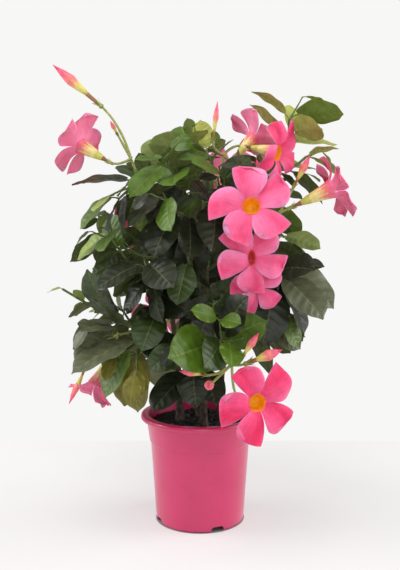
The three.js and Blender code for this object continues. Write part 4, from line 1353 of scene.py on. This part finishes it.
def make_twigs(shoots, finer):
    """The leafy shoots and the finer twigs on them."""
    rng = np.random.default_rng(SEEDS.twigs)
    heap = Heap()
    for name, shoot in shoots.items():
        add_limb(heap, shoot, "shoot", rng)
        for twig, _ in finer[name]:
            add_limb(heap, twig, "twig", rng)
    green = finish("twig_green", (96, 116, 50), 0.6, 0.25, 240, 0.3, 700)
    make_piece("twigs", heap, [green], list(MASSES))


SILK = {"Subsurface Weight": 0.8, "Subsurface Radius": (0.012, 0.008, 0.009), "Specular IOR Level": 0.3}
SILK_GRAIN = (0.06, 130, 0.2, 800, SILK)


def make_flowers(stalks):
    """Petals, trumpets, buds, sepals and stalks, each kind as one piece."""
    rng = np.random.default_rng(SEEDS.flowers)
    petals, trumpets, buds, sepals, stems = Heap(), Heap(), Heap(), Heap(), Heap()
    for name, own in stalks.items():
        _, _, _, open_flowers, closed = SPRAYS[name]
        for number, row in enumerate(open_flowers):
            bloom = Bloom(*row, PINCHED.get((name, number), 1))
            add_trumpet(trumpets, bloom, rng)
            for index in range(PETALS):
                add_petal(petals, bloom, 360 * index / PETALS, SPRAY_SHADE.get(name, 0), rng)
            add_sepals(sepals, bloom.along(TUBE_FOOT), bloom.axis, 1.5 * bloom.size, bloom.size, rng)
        for foot, tip, radius in closed:
            add_bud(buds, foot, tip, radius, rng)
            axis = unit(np.subtract(tip, foot))
            add_sepals(sepals, np.array(foot, float), axis, 0.34 * radius, min(1, 0.3 + radius / 9), rng)
        for index, limb in enumerate(own):
            add_limb(stems, limb, "stalk" if index else "spray", rng)
        add_scars(stems, own[0], rng)
    nodes = list(SPRAYS)
    shades = {k: mixed(PETAL_DEEP, PETAL_PALE, k / (PETAL_SHADES - 1)) for k in range(PETAL_SHADES)}
    # The backs' pale pink is partly painted light, raised to stand in for light shining through the thin
    # petals.
    back = finish("petal_back", (255, 142, 182), 0.6, *SILK_GRAIN)
    make_piece("petals", petals, [*finishes("petal", shades, 0.55, *SILK_GRAIN), back], nodes, 70)
    make_piece("trumpets", trumpets, finishes("tube", TUBE_TINTS, 0.5, 0.1, 200, 0.15, 800), nodes)
    budding = [name for name in nodes if SPRAYS[name][4]]
    make_piece("buds", buds, finishes("bud", BUD_TINTS, 0.5, 0.06, 200, 0.05, 500), budding, 45)
    green = finish("sepal", (162, 172, 82), 0.55, 0.2, 240, 0.2, 800)
    make_piece("sepals", sepals, [green], nodes)
    lime = finish("stalk", (174, 180, 92), 0.55, 0.2, 240, 0.25, 800)
    make_piece("flower_stalks", stems, [lime], nodes)


# Stage

FLOOR_REACH, FLOOR_BACK, FLOOR_DROP = 3.0, 0.3, -2e-5
FLOOR_GREY = (168, 167, 167)
FLOOR_LOOK = (0.6, 0.01, 8, 0.02, 300)
# The floor's glow is painted light: it lifts the shadows that the plant and pot cast on the floor.
FLOOR_GLOW = {"Emission Color": (1, 0.985, 0.975, 1), "Emission Strength": 0.46}


def make_floor():
    """A wide pale floor that ends a little behind the pot; its glow is painted light that lifts the shadows
    on it, and a disc under the pot that does not glow is painted shade.
    """
    # The disc just round the pot's foot does not glow: painted shade, dark under the pot and in its notches.
    disc = lathe_rings(np.array([[BASE_RADIUS + 1.0, 0]]), 48)[0] * MM
    left, right, front, back = -FLOOR_REACH, FLOOR_REACH, -FLOOR_REACH, FLOOR_BACK
    corners = [(x, y, FLOOR_DROP) for x, y in ((left, front), (right, front), (right, back), (left, back))]
    mesh = bpy.data.meshes.new("floor")
    mesh.from_pydata([*corners, *disc.tolist()], [], [range(4), range(4, 4 + len(disc))])
    mesh.materials.append(finish("floor_glowing", FLOOR_GREY, *FLOOR_LOOK, FLOOR_GLOW))
    mesh.materials.append(finish("floor_painted_shade", FLOOR_GREY, *FLOOR_LOOK))
    mesh.polygons[1].material_index = 1
    floor = bpy.data.objects.new("floor", mesh)
    bpy.context.scene.collection.objects.link(floor)


# Lamps by name: where each is, its size and its power; all are aimed at the crown
LAMPS = {
    "top": ((-0.25, -0.5, 1.7), 1.0, 13),
    "front": ((0.35, -1.7, 0.75), 1.2, 9),
    "left": ((-1.3, 0.05, 0.8), 0.9, 13),
    "right": ((1.3, 0.05, 0.8), 0.9, 13),
}
CROWN_MIDDLE = (0, 0, 0.3)
SEEN_WHITE, ROOM_GREY = (0.93, 0.93, 0.925, 1), (0.36, 0.36, 0.36, 1)
CAMERA_PLACE, CAMERA_PITCH = (0, -0.95, 0.387), 6.45
SENSOR, FOCAL_PIXELS, PICTURE_HEIGHT = 36, 820, 570


def add_light(name, place, size, power):
    lamp = bpy.data.lights.new(name, "AREA")
    lamp.size, lamp.energy = size, power
    light = bpy.data.objects.new(name, lamp)
    z = unit(np.subtract(place, CROWN_MIDDLE))
    x = unit(np.cross(UP, z))
    turn = Matrix(np.stack([x, np.cross(z, x), z], axis=1).tolist()).to_4x4()
    light.matrix_world = Matrix.Translation(place) @ turn
    bpy.context.scene.collection.objects.link(light)


def make_stage():
    """Soft studio light, a near-white surround and the camera at the picture's height and tilt."""
    scene = bpy.context.scene
    scene.view_settings.view_transform = "Standard"
    world = bpy.data.worlds.new("surround")
    world.use_nodes = True
    tree = world.node_tree
    surround = tree.nodes["Background"]
    surround.inputs["Color"].default_value = SEEN_WHITE
    room = add_node(tree, "Background", Color=ROOM_GREY)
    choice = add_node(tree, "MixShader")
    seen = add_node(tree, "LightPath").outputs["Is Camera Ray"]
    for socket, source in enumerate((seen, room.outputs[0], surround.outputs[0])):
        tree.links.new(source, choice.inputs[socket])
    tree.links.new(choice.outputs[0], tree.nodes["World Output"].inputs["Surface"])
    scene.world = world
    for name, lamp in LAMPS.items():
        add_light(name, *lamp)
    lens = bpy.data.cameras.new("camera")
    lens.sensor_width = SENSOR
    lens.lens = SENSOR * FOCAL_PIXELS / PICTURE_HEIGHT
    camera = bpy.data.objects.new("camera", lens)
    tilt = Matrix.Rotation(math.radians(90 - CAMERA_PITCH), 4, "X")
    camera.matrix_world = Matrix.Translation(CAMERA_PLACE) @ tilt
    scene.collection.objects.link(camera)
    scene.camera = camera


limbs, shoots, stalks, leaves, finer = grow_plant()
make_pot()
make_peat()
make_limbs(limbs)
make_twigs(shoots, finer)
make_foliage(leaves, finer)
make_flowers(stalks)
make_floor()
make_stage()
